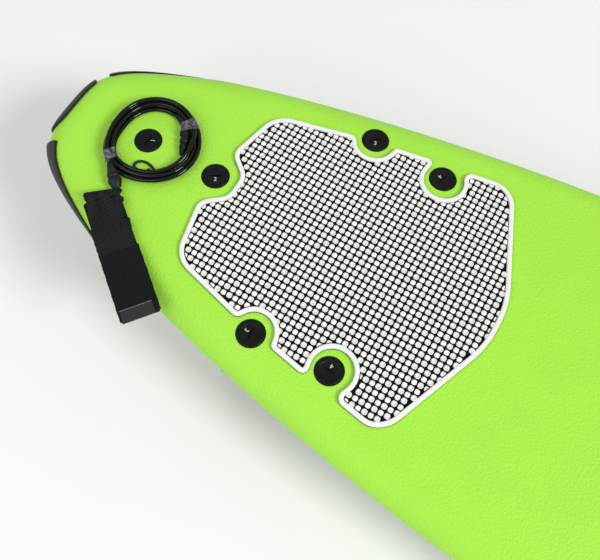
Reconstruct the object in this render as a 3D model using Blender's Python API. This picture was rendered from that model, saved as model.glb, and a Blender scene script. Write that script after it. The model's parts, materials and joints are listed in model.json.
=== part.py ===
"""Soft-top surfboard with a stuck-on traction pad, three through-bolted fins and a coiled ankle leash.

Board axes: +X from tail to nose, +Y to the left rail, +Z out of the deck. The tail end is at x = 0 and
the flat tail part of the deck is the plane z = 0. Every piece is modelled on these axes under the empty
board_axes, which is then tipped nose down and moved, so that the board stands on its two side fins and
its belly. Sizes are in metres.
"""

import math

import bmesh
import bpy
from mathutils import Matrix, Vector

# Board outline, seen from above: tail end, shoulder, widest point and nose joined by smooth curves
BOARD_LENGTH = 2.134
HALF_WIDTH = 0.2795
WIDE_POINT_X = 1.078
SHOULDER_X = 0.1425
SHOULDER_HALF_WIDTH = 0.1425
SHOULDER_SLOPE = 0.43
TAIL_BLUNTNESS = 0.062
SHOULDER_REACH_BACK = 0.153
SHOULDER_REACH_FORWARD = 0.061
WIDE_REACH_BACK = 0.504
WIDE_REACH_FORWARD = 0.560
NOSE_BLUNTNESS = 0.185

# Board side view
TAIL_THICKNESS = 0.062
MID_THICKNESS = 0.083
NOSE_THICKNESS = 0.042
FLAT_BOTTOM_TO_X = 0.63
NOSE_RISE_FROM_X = 0.95
NOSE_LIFT = 0.085
NOSE_CURVE_POWER = 2.3

# Board cross section
DECK_CROWN = 0.2
RAIL_ROLL = 0.040
TAIL_APEX_SHARE = 0.47
MID_APEX_SHARE = 0.62
APEX_SETTLES_X = 0.70

# Skins, core and stringers
GAP = 0.0003
DECK_SKIN = 0.006
BOTTOM_SKIN = 0.003
SKIN_JOINT_ANGLE = -70.0
SKIN_JOINT_GAP_ANGLE = 0.6
STRINGER_Y = 0.075
STRINGER_WIDTH = 0.004
TAIL_STEPS = 10
MID_STEPS = 6
NOSE_STEPS = 9
OUTER_ROLL = (90.0, 68.0, 46.0, 23.0, 0.0, -25.0, -50.0)
INNER_ROLL = (90.0, 55.0, 20.0, -20.0, -50.0)
DECK_COLUMNS = 10
INNER_COLUMNS = 6

# Rubber bumpers on the tail rails
BUMPER_GAP = 0.0012
BUMPER_PROUD = 0.0026
BUMPER_EDGE = 0.0006
TAIL_BUMPER_LEFT = 0.0523
TAIL_BUMPER_RIGHT = 0.0410
TAIL_BUMPER_TAPERS = (0.24, 0.14)
RAIL_BUMPER_FROM_Y = {"left": 0.069, "right": 0.0640}
RAIL_BUMPER_TO_X = 0.143
RAIL_BUMPER_TAPER = 0.10
TAIL_BUMPER_TOP_ANGLE = 51.0
RAIL_BUMPER_TOP_ANGLE = {"left": 47.0, "right": 57.0}
RAIL_BUMPER_TIP_ANGLE = 11.0
RAIL_BUMPER_TIP_THINNING = 0.65
BUMPER_LOW_ANGLE = -38.0

# Through bolts: the tail fin's pair on the centre line, and one pair for each side fin
BOLT_1_X = 0.1305
BOLT_SPACING = 0.103
SIDE_BOLT_BACK = 0.252
SIDE_BOLT_Y = 0.1576
SIDE_FIN_TOE_IN = 3.9
HEAD_RADIUS = 0.018
HEAD_THICKNESS = 0.0045
HEAD_PROUD = 0.0015
HEAD_BEVEL = 0.0012
DISH_RADIUS = 0.0115
DISH_DEPTH = 0.0007
SLOT_LENGTH = 0.0150
SLOT_WIDTH = 0.0022
SLOT_DEPTH = 0.0020
SLOT_TURNS = {"1": 85.0, "2": 31.0, "3_right": 96.0, "3_left": 40.0, "4_right": -2.5, "4_left": 75.0}
SHANK_RADIUS = 0.004
THREAD_ENGAGEMENT = 0.010
HEAD_SIDE_CLEARANCE = 0.0004
WASHER_RADIUS = 0.0150
WASHER_THICKNESS = 0.0010
SLEEVE_FLANGE_RADIUS = 0.0170
SLEEVE_FLANGE_THICKNESS = 0.0015
SLEEVE_WALL = 0.0015
BOSS_RADIUS = 0.0080
BOSS_HEIGHT = 0.014
INSERT_RADIUS = 0.0055
INSERT_LENGTH = 0.0125

# Fins
FIN_DEPTH = 0.108
FIN_THICKNESS = 0.009
FIN_TIP_THICKNESS = 0.0028
FIN_FRONT = 0.014
FIN_BACK = 0.011
FIN_TIP_BEHIND = 0.034
FIN_LEAD_SWEEP = 0.048
FIN_TRAIL_HOLLOW = 0.016
FIN_FLANGE_OVERHANG = 0.022
FIN_FLANGE_WIDTH = 0.024
FIN_FLANGE_THICKNESS = 0.004
SIDE_FIN_CANT = 6.0

# Traction pad
PAD_BASE_THICKNESS = 0.0018
PAD_TOP_THICKNESS = 0.0030
PAD_BORDER = 0.0075
PAD_STRIP = 0.045
PAD_ASIDE = -0.0016
# Corners of its left half: the bolt they are measured from, ahead of it, outside it, and the fillet
PAD_CORNERS = [
    ("2", 0.3995, 0.0311, 0.1400),
    ("2", 0.3449, 0.1702, 0.0420),
    ("4_left", 0.0726, 0.0346, 0.0300),
    ("4_left", 0.0192, 0.0255, 0.0110),
    ("4_left", 0.0433, -0.0296, 0.0263),
    ("4_left", -0.0266, -0.0288, 0.0258),
    ("4_left", -0.0206, 0.0197, 0.0075),
    ("3_left", 0.0296, 0.0025, 0.0070),
    ("3_left", 0.0213, -0.0319, 0.0255),
    ("3_left", -0.0126, -0.0271, 0.0225),
    ("3_left", -0.0243, -0.0084, 0.0100),
    ("2", 0.0185, 0.1213, 0.0380),
    ("2", 0.0019, 0.0401, 0.0200),
    ("2", 0.0305, 0.0165, 0.0190),
]

# Leash plug in the deck, under the coil
PLUG_FROM_BOLT = 0.0472
PLUG_FLANGE_RADIUS = 0.0095
PLUG_FLANGE_THICKNESS = 0.0015
PLUG_RADIUS = 0.0084
PLUG_WALL = 0.0012
PLUG_DEPTH = 0.018
PLUG_FLOOR = 0.002
PLUG_BAR_RADIUS = 0.0014
PLUG_BAR_BELOW_DECK = 0.0065

# Leash cord, coiled round bolt 1
CORD_DIAMETER = 0.0055
COIL_AHEAD_OF_BOLT = 0.0086
COIL_SIDEWAYS = 0.0
COIL_UNDER_CLEARANCE = 0.0013
LOOP_POINTS = 24
LOOP_PITCH = 0.00622
LAYER_RISE = 0.0060
COIL_START_ANGLE = 97.0
COIL_START_RADIUS = 0.0475
TURNS_OUT = 2.25
TURNS_CLIMBING = 0.5
CLIMB_BULGE = 0.0010
LOBE_SIZE = 0.0015
LOBES_FROM = 110.0
DENT_SIZE = 0.0026
DENT_ANGLE = 188.0
DENT_SPREAD = 30.0
SWIVEL_BULGE = 0.0028
SWIVEL_ANGLE = 74.0
SWIVEL_SPREAD = 28.0

# The way back over the top, as angle round the coil in degrees, then radius and height in millimetres
CROSSING_KNOTS_MM = [
    (1760, 49.3, 10.05), (1775, 49.5, 10.9), (1790, 50.1, 13.0), (1805, 51.2, 15.2), (1820, 52.5, 16.2),
    (1850, 55.4, 16.4), (1880, 57.6, 16.3), (1910, 58.4, 16.2), (1940, 57.0, 16.2), (1965, 54.6, 16.2),
    (1985, 53.6, 16.2), (2000, 54.6, 16.2), (2015, 56.8, 16.2), (2028, 59.8, 16.2), (2040, 62.6, 15.9),
]

# Swivels and straps of the leash, as points on the deck from bolt 1 in millimetres: x, y, height
BOARD_SWIVEL_MM = [
    (13.6, 48.2, 4.6, 3.4), (17.4, 47.7, 5.0, 3.9), (21.8, 45.2, 5.6, 4.3), (26.3, 41.3, 6.1, 4.3),
    (30.2, 37.6, 6.5, 4.4), (34.0, 32.8, 6.9, 5.0), (37.6, 27.8, 7.3, 5.9), (40.8, 22.9, 7.5, 6.3),
    (43.2, 18.4, 7.3, 5.8), (44.4, 16.0, 7.1, 4.9),
]
BOARD_EYE_MM = [
    (44.7, 15.4, 7.0, 4.8), (46.3, 12.3, 6.9, 5.0), (49.0, 7.0, 6.4, 4.4), (51.9, 1.4, 5.6, 3.5),
]
CUFF_SWIVEL_START_MM = (-14.7, -60.9, 14.4)
CUFF_SWIVEL_END_MM = (9.3, -81.3, 7.4)
SWIVEL_PIN_RADIUS = 0.0014
SWIVEL_HEAD_RADIUS = 0.0026
STRAP_THICKNESS = 0.003
STRAP_HEIGHT = 0.0070
STRAP_RADIUS = 0.0446
STRAP_ANGLES = (-2.0, -50.0)
STRING_DIAMETER = 0.0032
STRING_POINTS_MM = [
    (35.0, -34.6), (31.9, -33.6), (27.6, -31.6), (22.6, -30.2), (17.4, -29.9), (12.4, -31.0), (8.4, -33.6),
    (6.2, -37.6), (6.8, -41.4), (9.6, -43.7), (14.6, -43.9), (19.8, -42.7), (24.6, -40.4),
]

# Ankle cuff, folded flat across the near rail, measured along and across its own length
CUFF_NEAR_END_MM = (-0.3, -95.9)
CUFF_HEADING = -38.6
CUFF_LENGTH = 0.172
CUFF_RIGHT = -0.0305
CUFF_LEFT = 0.0198
CUFF_PAD_THICKNESS = 0.0085
WEBBING_HALF_WIDTH = 0.0233
WEBBING_MIDDLE = -0.0045
WEBBING_FROM = -0.0023
WEBBING_TO = 0.0440
WEBBING_SKEW = 0.20
WEBBING_SHIFT = 0.0032
WEBBING_THICKNESS = 0.0022
RIBBED_TO = 0.0820
FLAP_THICKNESS = 0.0026
TAB_FROM = 0.1590
TAB_TO = 0.1757
TAB_RIGHT = -0.0275
TAB_LEFT = 0.0125
TAB_THICKNESS = 0.0014
CUFF_STEP = 0.020
CUFF_DECK_TO_Y = 0.128

# Clear tape: middle angle and half width in degrees, then inner and outer radius, low and high
TAPES_MM = {
    "tape_band_left": (236.5, 6.5, 45.6, 67.4, 0.95, 20.0),
    "tape_band_right": (54.0, 8.0, 34.2, 65.0, 0.95, 20.0),
}
TAPE_THICKNESS = 0.0005

MM = 0.001


def material(name, colour, roughness, metallic=0.0):
    made = bpy.data.materials.new(name)
    made.use_nodes = True
    shader = made.node_tree.nodes["Principled BSDF"]
    shader.inputs["Base Color"].default_value = (*colour, 1.0)
    shader.inputs["Roughness"].default_value = roughness
    shader.inputs["Metallic"].default_value = metallic
    made.diffuse_color = (*colour, 1.0)
    return made


def empty(name, parent=None, location=(0.0, 0.0, 0.0)):
    made = bpy.data.objects.new(name, None)
    made.empty_display_size = 0.02
    made.location = location
    made.parent = parent
    bpy.context.scene.collection.objects.link(made)
    return made


def place(name, data, look, parent, location=(0.0, 0.0, 0.0), rotation=(0.0, 0.0, 0.0)):
    """An object with its own copy of a look, placed under an empty."""
    made = bpy.data.objects.new(name, data)
    made.location = location
    made.rotation_euler = rotation
    made.parent = parent
    own_look = look.copy()
    own_look.name = name + "_look"
    data.materials.append(own_look)
    bpy.context.scene.collection.objects.link(made)
    return made


def mesh(name, points, faces):
    """A mesh whose faces all point outwards."""
    data = bpy.data.meshes.new(name)
    data.from_pydata([tuple(point) for point in points], [], faces)
    work = bmesh.new()
    work.from_mesh(data)
    bmesh.ops.recalc_face_normals(work, faces=work.faces)
    work.to_mesh(data)
    work.free()
    data.shade_smooth()
    data.set_sharp_from_angle(angle=math.radians(35.0))
    return data


def tool_object(name, data, parent, location=(0.0, 0.0, 0.0)):
    """A shape that only cuts or joins another."""
    made = bpy.data.objects.new(name, data)
    made.location = location
    made.parent = parent
    made.hide_render = True
    made.display_type = "WIRE"
    bpy.context.scene.collection.objects.link(made)
    return made


def combine(target, tool, operation):
    step = target.modifiers.new(tool.name, "BOOLEAN")
    step.operation = operation
    step.solver = "EXACT"
    step.object = tool


def loft_faces(starts, count):
    """Triangles between closed rings of the same count, whose first point numbers are in starts."""
    faces = []
    for low, high in zip(starts, starts[1:]):
        for i in range(count):
            j = (i + 1) % count
            faces.append((low + i, low + j, high + j))
            faces.append((low + i, high + j, high + i))
    return faces


def lofted(name, rings):
    """A solid through closed rings, capped flat at its two ends."""
    count = len(rings[0])
    points = [point for ring in rings for point in ring]
    faces = loft_faces([count * k for k in range(len(rings))], count)
    faces.append(tuple(range(count)))
    faces.append(tuple(range(len(points) - count, len(points))))
    return mesh(name, points, faces)


def turned(name, profile, segments):
    """A profile of radius and height turned round Z. Its ends lie on the axis, or it closes on itself."""
    closed = profile[0][0] > 0.0 or profile[-1][0] > 0.0
    points = []
    starts = []
    for radius, height in profile:
        starts.append(len(points))
        if radius == 0.0:
            points.append((0.0, 0.0, height))
            continue
        for i in range(segments):
            turn = math.tau * i / segments
            points.append((radius * math.cos(turn), radius * math.sin(turn), height))
    faces = []
    pairs = list(zip(range(len(profile)), range(1, len(profile))))
    if closed:
        pairs.append((len(profile) - 1, 0))
    for a, b in pairs:
        for i in range(segments):
            j = (i + 1) % segments
            if profile[a][0] == 0.0:
                faces.append((starts[a], starts[b] + i, starts[b] + j))
            elif profile[b][0] == 0.0:
                faces.append((starts[a] + i, starts[b], starts[a] + j))
            else:
                faces.append((starts[a] + i, starts[a] + j, starts[b] + j, starts[b] + i))
    return mesh(name, points, faces)


def around(radius, segments):
    """The corner radius of a many-sided hole whose flats are at this radius."""
    return radius / math.cos(math.pi / segments)


def cylinders(name, shapes, segments=12):
    """Upright cylinders as one mesh, each given by its centre x and y, corner radius, low and high."""
    work = bmesh.new()
    for x, y, radius, low, high in shapes:
        middle = Matrix.Translation((x, y, (low + high) / 2))
        sizes = {"radius1": radius, "radius2": radius, "depth": high - low}
        bmesh.ops.create_cone(work, cap_ends=True, segments=segments, matrix=middle, **sizes)
    data = bpy.data.meshes.new(name)
    work.to_mesh(data)
    work.free()
    return data


def box(name, low, high):
    work = bmesh.new()
    size = [h - l for l, h in zip(low, high)]
    middle = [(h + l) / 2 for l, h in zip(low, high)]
    bmesh.ops.create_cube(work, size=1.0, matrix=Matrix.Translation(middle) @ Matrix.Diagonal((*size, 1.0)))
    data = bpy.data.meshes.new(name)
    work.to_mesh(data)
    work.free()
    return data


def smooth_step(value):
    value = min(max(value, 0.0), 1.0)
    return value * value * (3.0 - 2.0 * value)


def bezier(corners, share):
    a, b, c, d = [Vector(corner) for corner in corners]
    rest = 1.0 - share
    point = rest**3 * a + 3 * rest**2 * share * b + 3 * rest * share**2 * c + share**3 * d
    slope = 3 * rest**2 * (b - a) + 6 * rest * share * (c - b) + 3 * share**2 * (d - c)
    return point, slope.normalized()


def outline_curves():
    """The three curves of the left half outline: tail to shoulder, to the widest point, to the nose."""
    along = Vector((1.0, SHOULDER_SLOPE)).normalized()
    shoulder = Vector((SHOULDER_X, SHOULDER_HALF_WIDTH))
    wide = Vector((WIDE_POINT_X, HALF_WIDTH))
    nose = Vector((BOARD_LENGTH, 0.0))
    back = shoulder - along * SHOULDER_REACH_BACK
    forward = shoulder + along * SHOULDER_REACH_FORWARD
    return [
        (Vector((0.0, 0.0)), Vector((0.0, TAIL_BLUNTNESS)), back, shoulder),
        (shoulder, forward, wide - Vector((WIDE_REACH_BACK, 0.0)), wide),
        (wide, wide + Vector((WIDE_REACH_FORWARD, 0.0)), nose + Vector((0.0, NOSE_BLUNTNESS)), nose),
    ]


def outline_station(run):
    """Point and outward direction, at run 0 tail, 1 shoulder, 2 widest point and 3 nose."""
    curves = outline_curves()
    piece = min(int(abs(run)), 2)
    point, slope = bezier(curves[piece], abs(run) - piece)
    outward = Vector((-slope.y, slope.x))
    if run < 0.0:
        return Vector((point.x, -point.y)), Vector((outward.x, -outward.y))
    return point, outward


def run_where(measure, value, low=0.0, high=2.0):
    """The run at which a growing measure of the outline point reaches a value."""
    for _ in range(40):
        middle = (low + high) / 2
        if measure(outline_station(middle)[0]) < value:
            low = middle
        else:
            high = middle
    return (low + high) / 2


def deck_line(x):
    rise = max(x - NOSE_RISE_FROM_X, 0.0) / (BOARD_LENGTH - NOSE_RISE_FROM_X)
    return NOSE_LIFT * rise**NOSE_CURVE_POWER


def thickness(x):
    if x < WIDE_POINT_X:
        share = smooth_step((x - FLAT_BOTTOM_TO_X) / (WIDE_POINT_X - FLAT_BOTTOM_TO_X))
        return TAIL_THICKNESS + (MID_THICKNESS - TAIL_THICKNESS) * share
    share = (x - WIDE_POINT_X) / (BOARD_LENGTH - WIDE_POINT_X)
    return MID_THICKNESS - (MID_THICKNESS - NOSE_THICKNESS) * share**2


def deck_height(x, y):
    return deck_line(x) - DECK_CROWN * y**2


def bottom_height(x):
    return deck_line(x) - thickness(x)


def apex_share(x):
    """How far down from the deck to the bottom the widest line of the rail is."""
    settled = min(max(x / APEX_SETTLES_X, 0.0), 1.0)
    return TAIL_APEX_SHARE + (MID_APEX_SHARE - TAIL_APEX_SHARE) * settled * (2.0 - settled)


def rail_point(run, angle, inset):
    """A point on the rounded rail: 90 degrees at the deck, 0 at the widest line, -90 at the bottom."""
    point, outward = outline_station(run)
    middle = point - outward * RAIL_ROLL
    top = deck_height(middle.x, middle.y)
    bottom = bottom_height(middle.x)
    apex = top - (top - bottom) * apex_share(middle.x)
    turn = math.radians(angle)
    out = middle + outward * (RAIL_ROLL - inset) * math.cos(turn)
    half_height = (top - apex if angle > 0.0 else apex - bottom) - inset
    return Vector((out.x, out.y, apex + half_height * math.sin(turn)))


def half_runs():
    counts = (TAIL_STEPS, MID_STEPS, NOSE_STEPS)
    return [piece + i / count for piece, count in enumerate(counts) for i in range(count)] + [3.0]


def rail_ring(angle, inset):
    """The whole way round the board at one height of its rail: left side to the nose, back on the right."""
    runs = half_runs()
    left = [rail_point(run, angle, inset) for run in runs]
    for end in (left[0], left[-1]):
        end.y = 0.0
    right = [Vector((p.x, -p.y, p.z)) for p in reversed(left[1:-1])]
    return left + right


class BoardShape:
    """Points and faces of a closed shape made of rings round the board and of sheets across it."""

    def __init__(self):
        self.points = []
        self.faces = []
        self.half = len(half_runs()) - 1

    def ring(self, angle, inset):
        start = len(self.points)
        self.points += rail_ring(angle, inset)
        return start

    def sheet(self, start, columns, crown):
        """Fills a ring with strips across, each following the crown."""
        count = 2 * self.half
        rows = []
        for i in range(1, self.half):
            left = self.points[start + i]
            row = [start + i]
            for k in range(1, columns):
                y = left.y * (1.0 - 2.0 * k / columns)
                row.append(len(self.points))
                self.points.append(Vector((left.x, y, left.z + crown * (left.y**2 - y**2))))
            row.append(start + count - i)
            rows.append(row)
        for row, after in zip(rows, rows[1:]):
            for k in range(columns):
                self.faces.append((row[k], row[k + 1], after[k + 1]))
                self.faces.append((row[k], after[k + 1], after[k]))
        for k in range(columns):
            self.faces.append((start, rows[0][k], rows[0][k + 1]))
            self.faces.append((start + self.half, rows[-1][k], rows[-1][k + 1]))

    def join(self, starts):
        self.faces += loft_faces(starts, 2 * self.half)

    def mesh(self, name):
        return mesh(name, self.points, self.faces)


def joint_angles():
    half = SKIN_JOINT_GAP_ANGLE / 2
    return SKIN_JOINT_ANGLE + half, SKIN_JOINT_ANGLE - half


def deck_skin_mesh():
    """Foam skin over the deck and round the rails, open where the bottom skin begins."""
    edge, _ = joint_angles()
    shape = BoardShape()
    outer = [shape.ring(angle, 0.0) for angle in (*OUTER_ROLL, edge)]
    inner = [shape.ring(angle, DECK_SKIN) for angle in (*INNER_ROLL, edge)]
    shape.sheet(outer[0], DECK_COLUMNS, DECK_CROWN)
    shape.sheet(inner[0], INNER_COLUMNS, DECK_CROWN)
    shape.join(outer)
    shape.join(inner)
    shape.join([outer[-1], inner[-1]])
    return shape.mesh("deck_skin")


def bottom_skin_mesh():
    _, edge = joint_angles()
    shape = BoardShape()
    outer = [shape.ring(angle, 0.0) for angle in (edge, -80.0, -90.0)]
    inner = [shape.ring(angle, BOTTOM_SKIN) for angle in (edge, -80.0, -90.0)]
    shape.sheet(outer[-1], 1, 0.0)
    shape.sheet(inner[-1], 1, 0.0)
    shape.join(outer)
    shape.join(inner)
    shape.join([outer[0], inner[0]])
    return shape.mesh("bottom_skin")


def core_mesh(name):
    """The foam core before it is sawn for the stringers and bored for the sleeves."""
    upper, lower = joint_angles()
    shape = BoardShape()
    rings = [shape.ring(angle, DECK_SKIN + GAP) for angle in (*INNER_ROLL, upper)]
    rings += [shape.ring(angle, BOTTOM_SKIN + GAP) for angle in (lower, -80.0, -90.0)]
    shape.sheet(rings[0], INNER_COLUMNS, DECK_CROWN)
    shape.sheet(rings[-1], 1, 0.0)
    shape.join(rings)
    return shape.mesh(name)


def bolt_places():
    """Each bolt's number and side, with its place on the deck."""
    toe = math.radians(SIDE_FIN_TOE_IN)
    places = {"1": (BOLT_1_X, 0.0), "2": (BOLT_1_X + BOLT_SPACING, 0.0)}
    for side, sign in (("right", -1.0), ("left", 1.0)):
        back = (BOLT_1_X + SIDE_BOLT_BACK, sign * SIDE_BOLT_Y)
        places["3_" + side] = back
        places["4_" + side] = (
            back[0] + BOLT_SPACING * math.cos(toe),
            back[1] - sign * BOLT_SPACING * math.sin(toe),
        )
    return places


def bolt_levels(x, y):
    """Heights down one bolt hole, from the head to the end of the shank."""
    deck = deck_height(x, y)
    levels = {"deck": deck, "head_top": deck + HEAD_PROUD}
    levels["head_under"] = levels["head_top"] - HEAD_THICKNESS
    levels["washer_top"] = levels["head_under"] - GAP
    levels["washer_under"] = levels["washer_top"] - WASHER_THICKNESS
    levels["flange_top"] = levels["washer_under"] - GAP
    levels["flange_under"] = levels["flange_top"] - SLEEVE_FLANGE_THICKNESS
    levels["bottom"] = bottom_height(x)
    levels["fin_top"] = levels["bottom"] - GAP
    levels["boss_top"] = levels["fin_top"] + BOSS_HEIGHT
    levels["insert_top"] = levels["boss_top"] - GAP
    levels["shank_end"] = levels["insert_top"] - THREAD_ENGAGEMENT
    return levels


def sleeve_radii():
    inner = BOSS_RADIUS + GAP
    return inner, inner + SLEEVE_WALL


def plug_place():
    return BOLT_1_X - PLUG_FROM_BOLT, 0.0


def deck_cutter_shapes():
    shapes = []
    for x, y in bolt_places().values():
        levels = bolt_levels(x, y)
        radius = around(HEAD_RADIUS + HEAD_SIDE_CLEARANCE, 20)
        shapes.append((x, y, radius, levels["deck"] - 2 * DECK_SKIN, 0.02))
    x, y = plug_place()
    shapes.append((x, y, around(PLUG_RADIUS + GAP, 20), -2 * DECK_SKIN, 0.02))
    return shapes


def core_cutter_shapes():
    """A counterbore for each sleeve's flange, and a bore for its tube, as separate sets."""
    flanges = []
    bores = []
    for x, y in bolt_places().values():
        levels = bolt_levels(x, y)
        flanges.append((x, y, around(SLEEVE_FLANGE_RADIUS + GAP, 12), levels["flange_under"] - GAP, 0.02))
        bores.append((x, y, around(sleeve_radii()[1] + GAP, 12), levels["bottom"] - 0.02, 0.02))
    x, y = plug_place()
    bores.append((x, y, around(PLUG_RADIUS + GAP, 12), -PLUG_DEPTH - GAP, 0.02))
    return flanges, bores


def build_skins(parent, looks):
    deck = place("deck_skin", deck_skin_mesh(), looks["deck"], parent)
    holes = cylinders("cut_deck_holes", deck_cutter_shapes(), 20)
    combine(deck, tool_object("cut_deck_holes", holes, parent), "DIFFERENCE")
    x, y = plug_place()
    recess = [(x, y, around(PLUG_FLANGE_RADIUS + GAP, 20), -PLUG_FLANGE_THICKNESS - 3 * GAP, 0.02)]
    seat = cylinders("cut_plug_seat", recess, 20)
    combine(deck, tool_object("cut_plug_seat", seat, parent), "DIFFERENCE")

    bottom = place("bottom_skin", bottom_skin_mesh(), looks["slick"], parent)
    radius = around(sleeve_radii()[1] + GAP, 12)
    level = bottom_height(BOLT_1_X)
    holes = [(x, y, radius, level - 0.02, level + 0.02) for x, y in bolt_places().values()]
    bores = cylinders("cut_bottom_holes", holes)
    combine(bottom, tool_object("cut_bottom_holes", bores, parent), "DIFFERENCE")
    return deck, bottom


def build_core(parent, looks):
    half = STRINGER_WIDTH / 2
    far = 2 * HALF_WIDTH
    low, high = -0.3, 0.3
    slices = {
        "core_left": (STRINGER_Y + half + GAP, far, looks["foam"]),
        "core_centre": (-STRINGER_Y + half + GAP, STRINGER_Y - half - GAP, looks["foam"]),
        "core_right": (-far, -STRINGER_Y - half - GAP, looks["foam"]),
        "stringer_left": (STRINGER_Y - half, STRINGER_Y + half, looks["wood"]),
        "stringer_right": (-STRINGER_Y - half, -STRINGER_Y + half, looks["wood"]),
    }
    flanges, bores = core_cutter_shapes()
    for name, (right, left, look) in slices.items():
        piece = place(name, core_mesh(name), look, parent)
        keep = box("keep_" + name, (-0.1, right, low), (BOARD_LENGTH + 0.1, left, high))
        combine(piece, tool_object("keep_" + name, keep, parent), "INTERSECT")
        for label, shapes in (("flange", flanges), ("bore", bores)):
            inside = [shape for shape in shapes if right < shape[1] < left]
            if inside:
                tool_name = "cut_" + label + "_" + name
                combine(piece, tool_object(tool_name, cylinders(tool_name, inside), parent), "DIFFERENCE")


def bumper_mesh(name, runs, top_angles, low_angles, prouds):
    """A rubber strip along the rail, proud of the skin and rounded down to its edges."""
    across = 8
    rings = []
    for run, top, low, proud in zip(runs, top_angles, low_angles, prouds):
        outer = []
        for k in range(across + 1):
            side = 2.0 * k / across - 1.0
            height = BUMPER_EDGE + (proud - BUMPER_EDGE) * (1.0 - side**4)
            outer.append(rail_point(run, low + (top - low) * k / across, -BUMPER_GAP - height))
        inner = [rail_point(run, low + (top - low) * k / across, -BUMPER_GAP) for k in range(across, -1, -1)]
        rings.append(outer + inner)
    return lofted(name, rings)


def end_spaced(steps):
    """Shares from 0 to 1, closer together near both ends."""
    return [(1.0 - math.cos(math.pi * i / steps)) / 2 for i in range(steps + 1)]


def round_ends(share, length):
    """Narrows a strip's end to a round one: 1 along its middle, down to a third at the very end."""
    inward = min(share / length, 1.0)
    return 0.35 + 0.65 * math.sqrt(1.0 - (1.0 - inward) ** 2)


def build_bumpers(parent, looks):
    steps = 12
    right_end = run_where(lambda p: p.y, TAIL_BUMPER_RIGHT)
    left_end = run_where(lambda p: p.y, TAIL_BUMPER_LEFT)
    middle = (TAIL_BUMPER_TOP_ANGLE + BUMPER_LOW_ANGLE) / 2
    half = (TAIL_BUMPER_TOP_ANGLE - BUMPER_LOW_ANGLE) / 2
    right_taper, left_taper = TAIL_BUMPER_TAPERS
    shares = end_spaced(steps)
    widths = [min(round_ends(share, right_taper), round_ends(1.0 - share, left_taper)) for share in shares]
    runs = [-right_end + (right_end + left_end) * share for share in shares]
    tops = [middle + half * width for width in widths]
    lows = [middle - half * width for width in widths]
    data = bumper_mesh("tail_bumper", runs, tops, lows, [BUMPER_PROUD] * len(runs))
    place("tail_bumper", data, looks["rubber"], parent)

    steps = 16
    last = run_where(lambda p: p.x, RAIL_BUMPER_TO_X)
    for side, sign in (("left", 1.0), ("right", -1.0)):
        first = run_where(lambda p: p.y, RAIL_BUMPER_FROM_Y[side])
        start_angle = RAIL_BUMPER_TOP_ANGLE[side]
        runs, tops, lows, prouds = [], [], [], []
        for share in end_spaced(steps):
            top = start_angle + (RAIL_BUMPER_TIP_ANGLE - start_angle) * share
            centre = (top + BUMPER_LOW_ANGLE) / 2
            width = round_ends(min(share, 1.0 - share), RAIL_BUMPER_TAPER)
            reach = (top - BUMPER_LOW_ANGLE) / 2 * width
            runs.append(sign * (first + (last - first) * share))
            tops.append(centre + reach)
            lows.append(centre - reach)
            prouds.append(BUMPER_PROUD * (1.0 - RAIL_BUMPER_TIP_THINNING * share**2))
        name = "rail_bumper_" + side
        place(name, bumper_mesh(name, runs, tops, lows, prouds), looks["rubber"], parent)


def build_bolt(label, x, y, parent, looks):
    """A coin-slotted bolt on its own axis, its washer and the sleeve through the board."""
    levels = bolt_levels(x, y)
    axis = empty("bolt_" + label + "_axis", parent, (x, y, levels["head_top"]))

    under = -HEAD_THICKNESS
    end = levels["shank_end"] - levels["head_top"]
    profile = [
        (0.0, -DISH_DEPTH),
        (DISH_RADIUS, -DISH_DEPTH),
        (DISH_RADIUS + 2 * DISH_DEPTH, 0.0),
        (HEAD_RADIUS - HEAD_BEVEL, 0.0),
        (HEAD_RADIUS, -HEAD_BEVEL),
        (HEAD_RADIUS, under),
        (SHANK_RADIUS, under),
        (SHANK_RADIUS, end + SHANK_RADIUS / 4),
        (SHANK_RADIUS * 3 / 4, end),
        (0.0, end),
    ]
    bolt = place("bolt_" + label, turned("bolt_" + label, profile, 20), looks["bolt"], axis)
    corner = Vector((SLOT_LENGTH / 2, SLOT_WIDTH / 2, 0.010))
    slot = box("cut_slot_" + label, (-corner.x, -corner.y, -DISH_DEPTH - SLOT_DEPTH), corner)
    slot.transform(Matrix.Rotation(math.radians(SLOT_TURNS[label]), 4, "Z"))
    combine(bolt, tool_object("cut_slot_" + label, slot, axis), "DIFFERENCE")

    hole = around(SHANK_RADIUS + GAP, 12)
    top, low = [levels[key] - levels["head_top"] for key in ("washer_top", "washer_under")]
    ring = [(hole, top), (WASHER_RADIUS, top), (WASHER_RADIUS, low), (hole, low)]
    place("washer_" + label, turned("washer_" + label, ring, 12), looks["washer"], axis)

    inner, outer = sleeve_radii()
    inner = around(inner, 12)
    flange = SLEEVE_FLANGE_RADIUS
    top, low = [levels[key] - levels["head_top"] for key in ("flange_top", "flange_under")]
    foot = levels["bottom"] - levels["head_top"]
    tube = [(inner, top), (flange, top), (flange, low), (outer, low), (outer, foot), (inner, foot)]
    place("sleeve_" + label, turned("sleeve_" + label, tube, 12), looks["sleeve"], axis)

    top = levels["insert_top"] - levels["head_top"]
    low = top - INSERT_LENGTH
    insert = [(hole, top), (INSERT_RADIUS, top), (INSERT_RADIUS, low), (hole, low)]
    place("insert_" + label, turned("insert_" + label, insert, 12), looks["brass"], axis)


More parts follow.
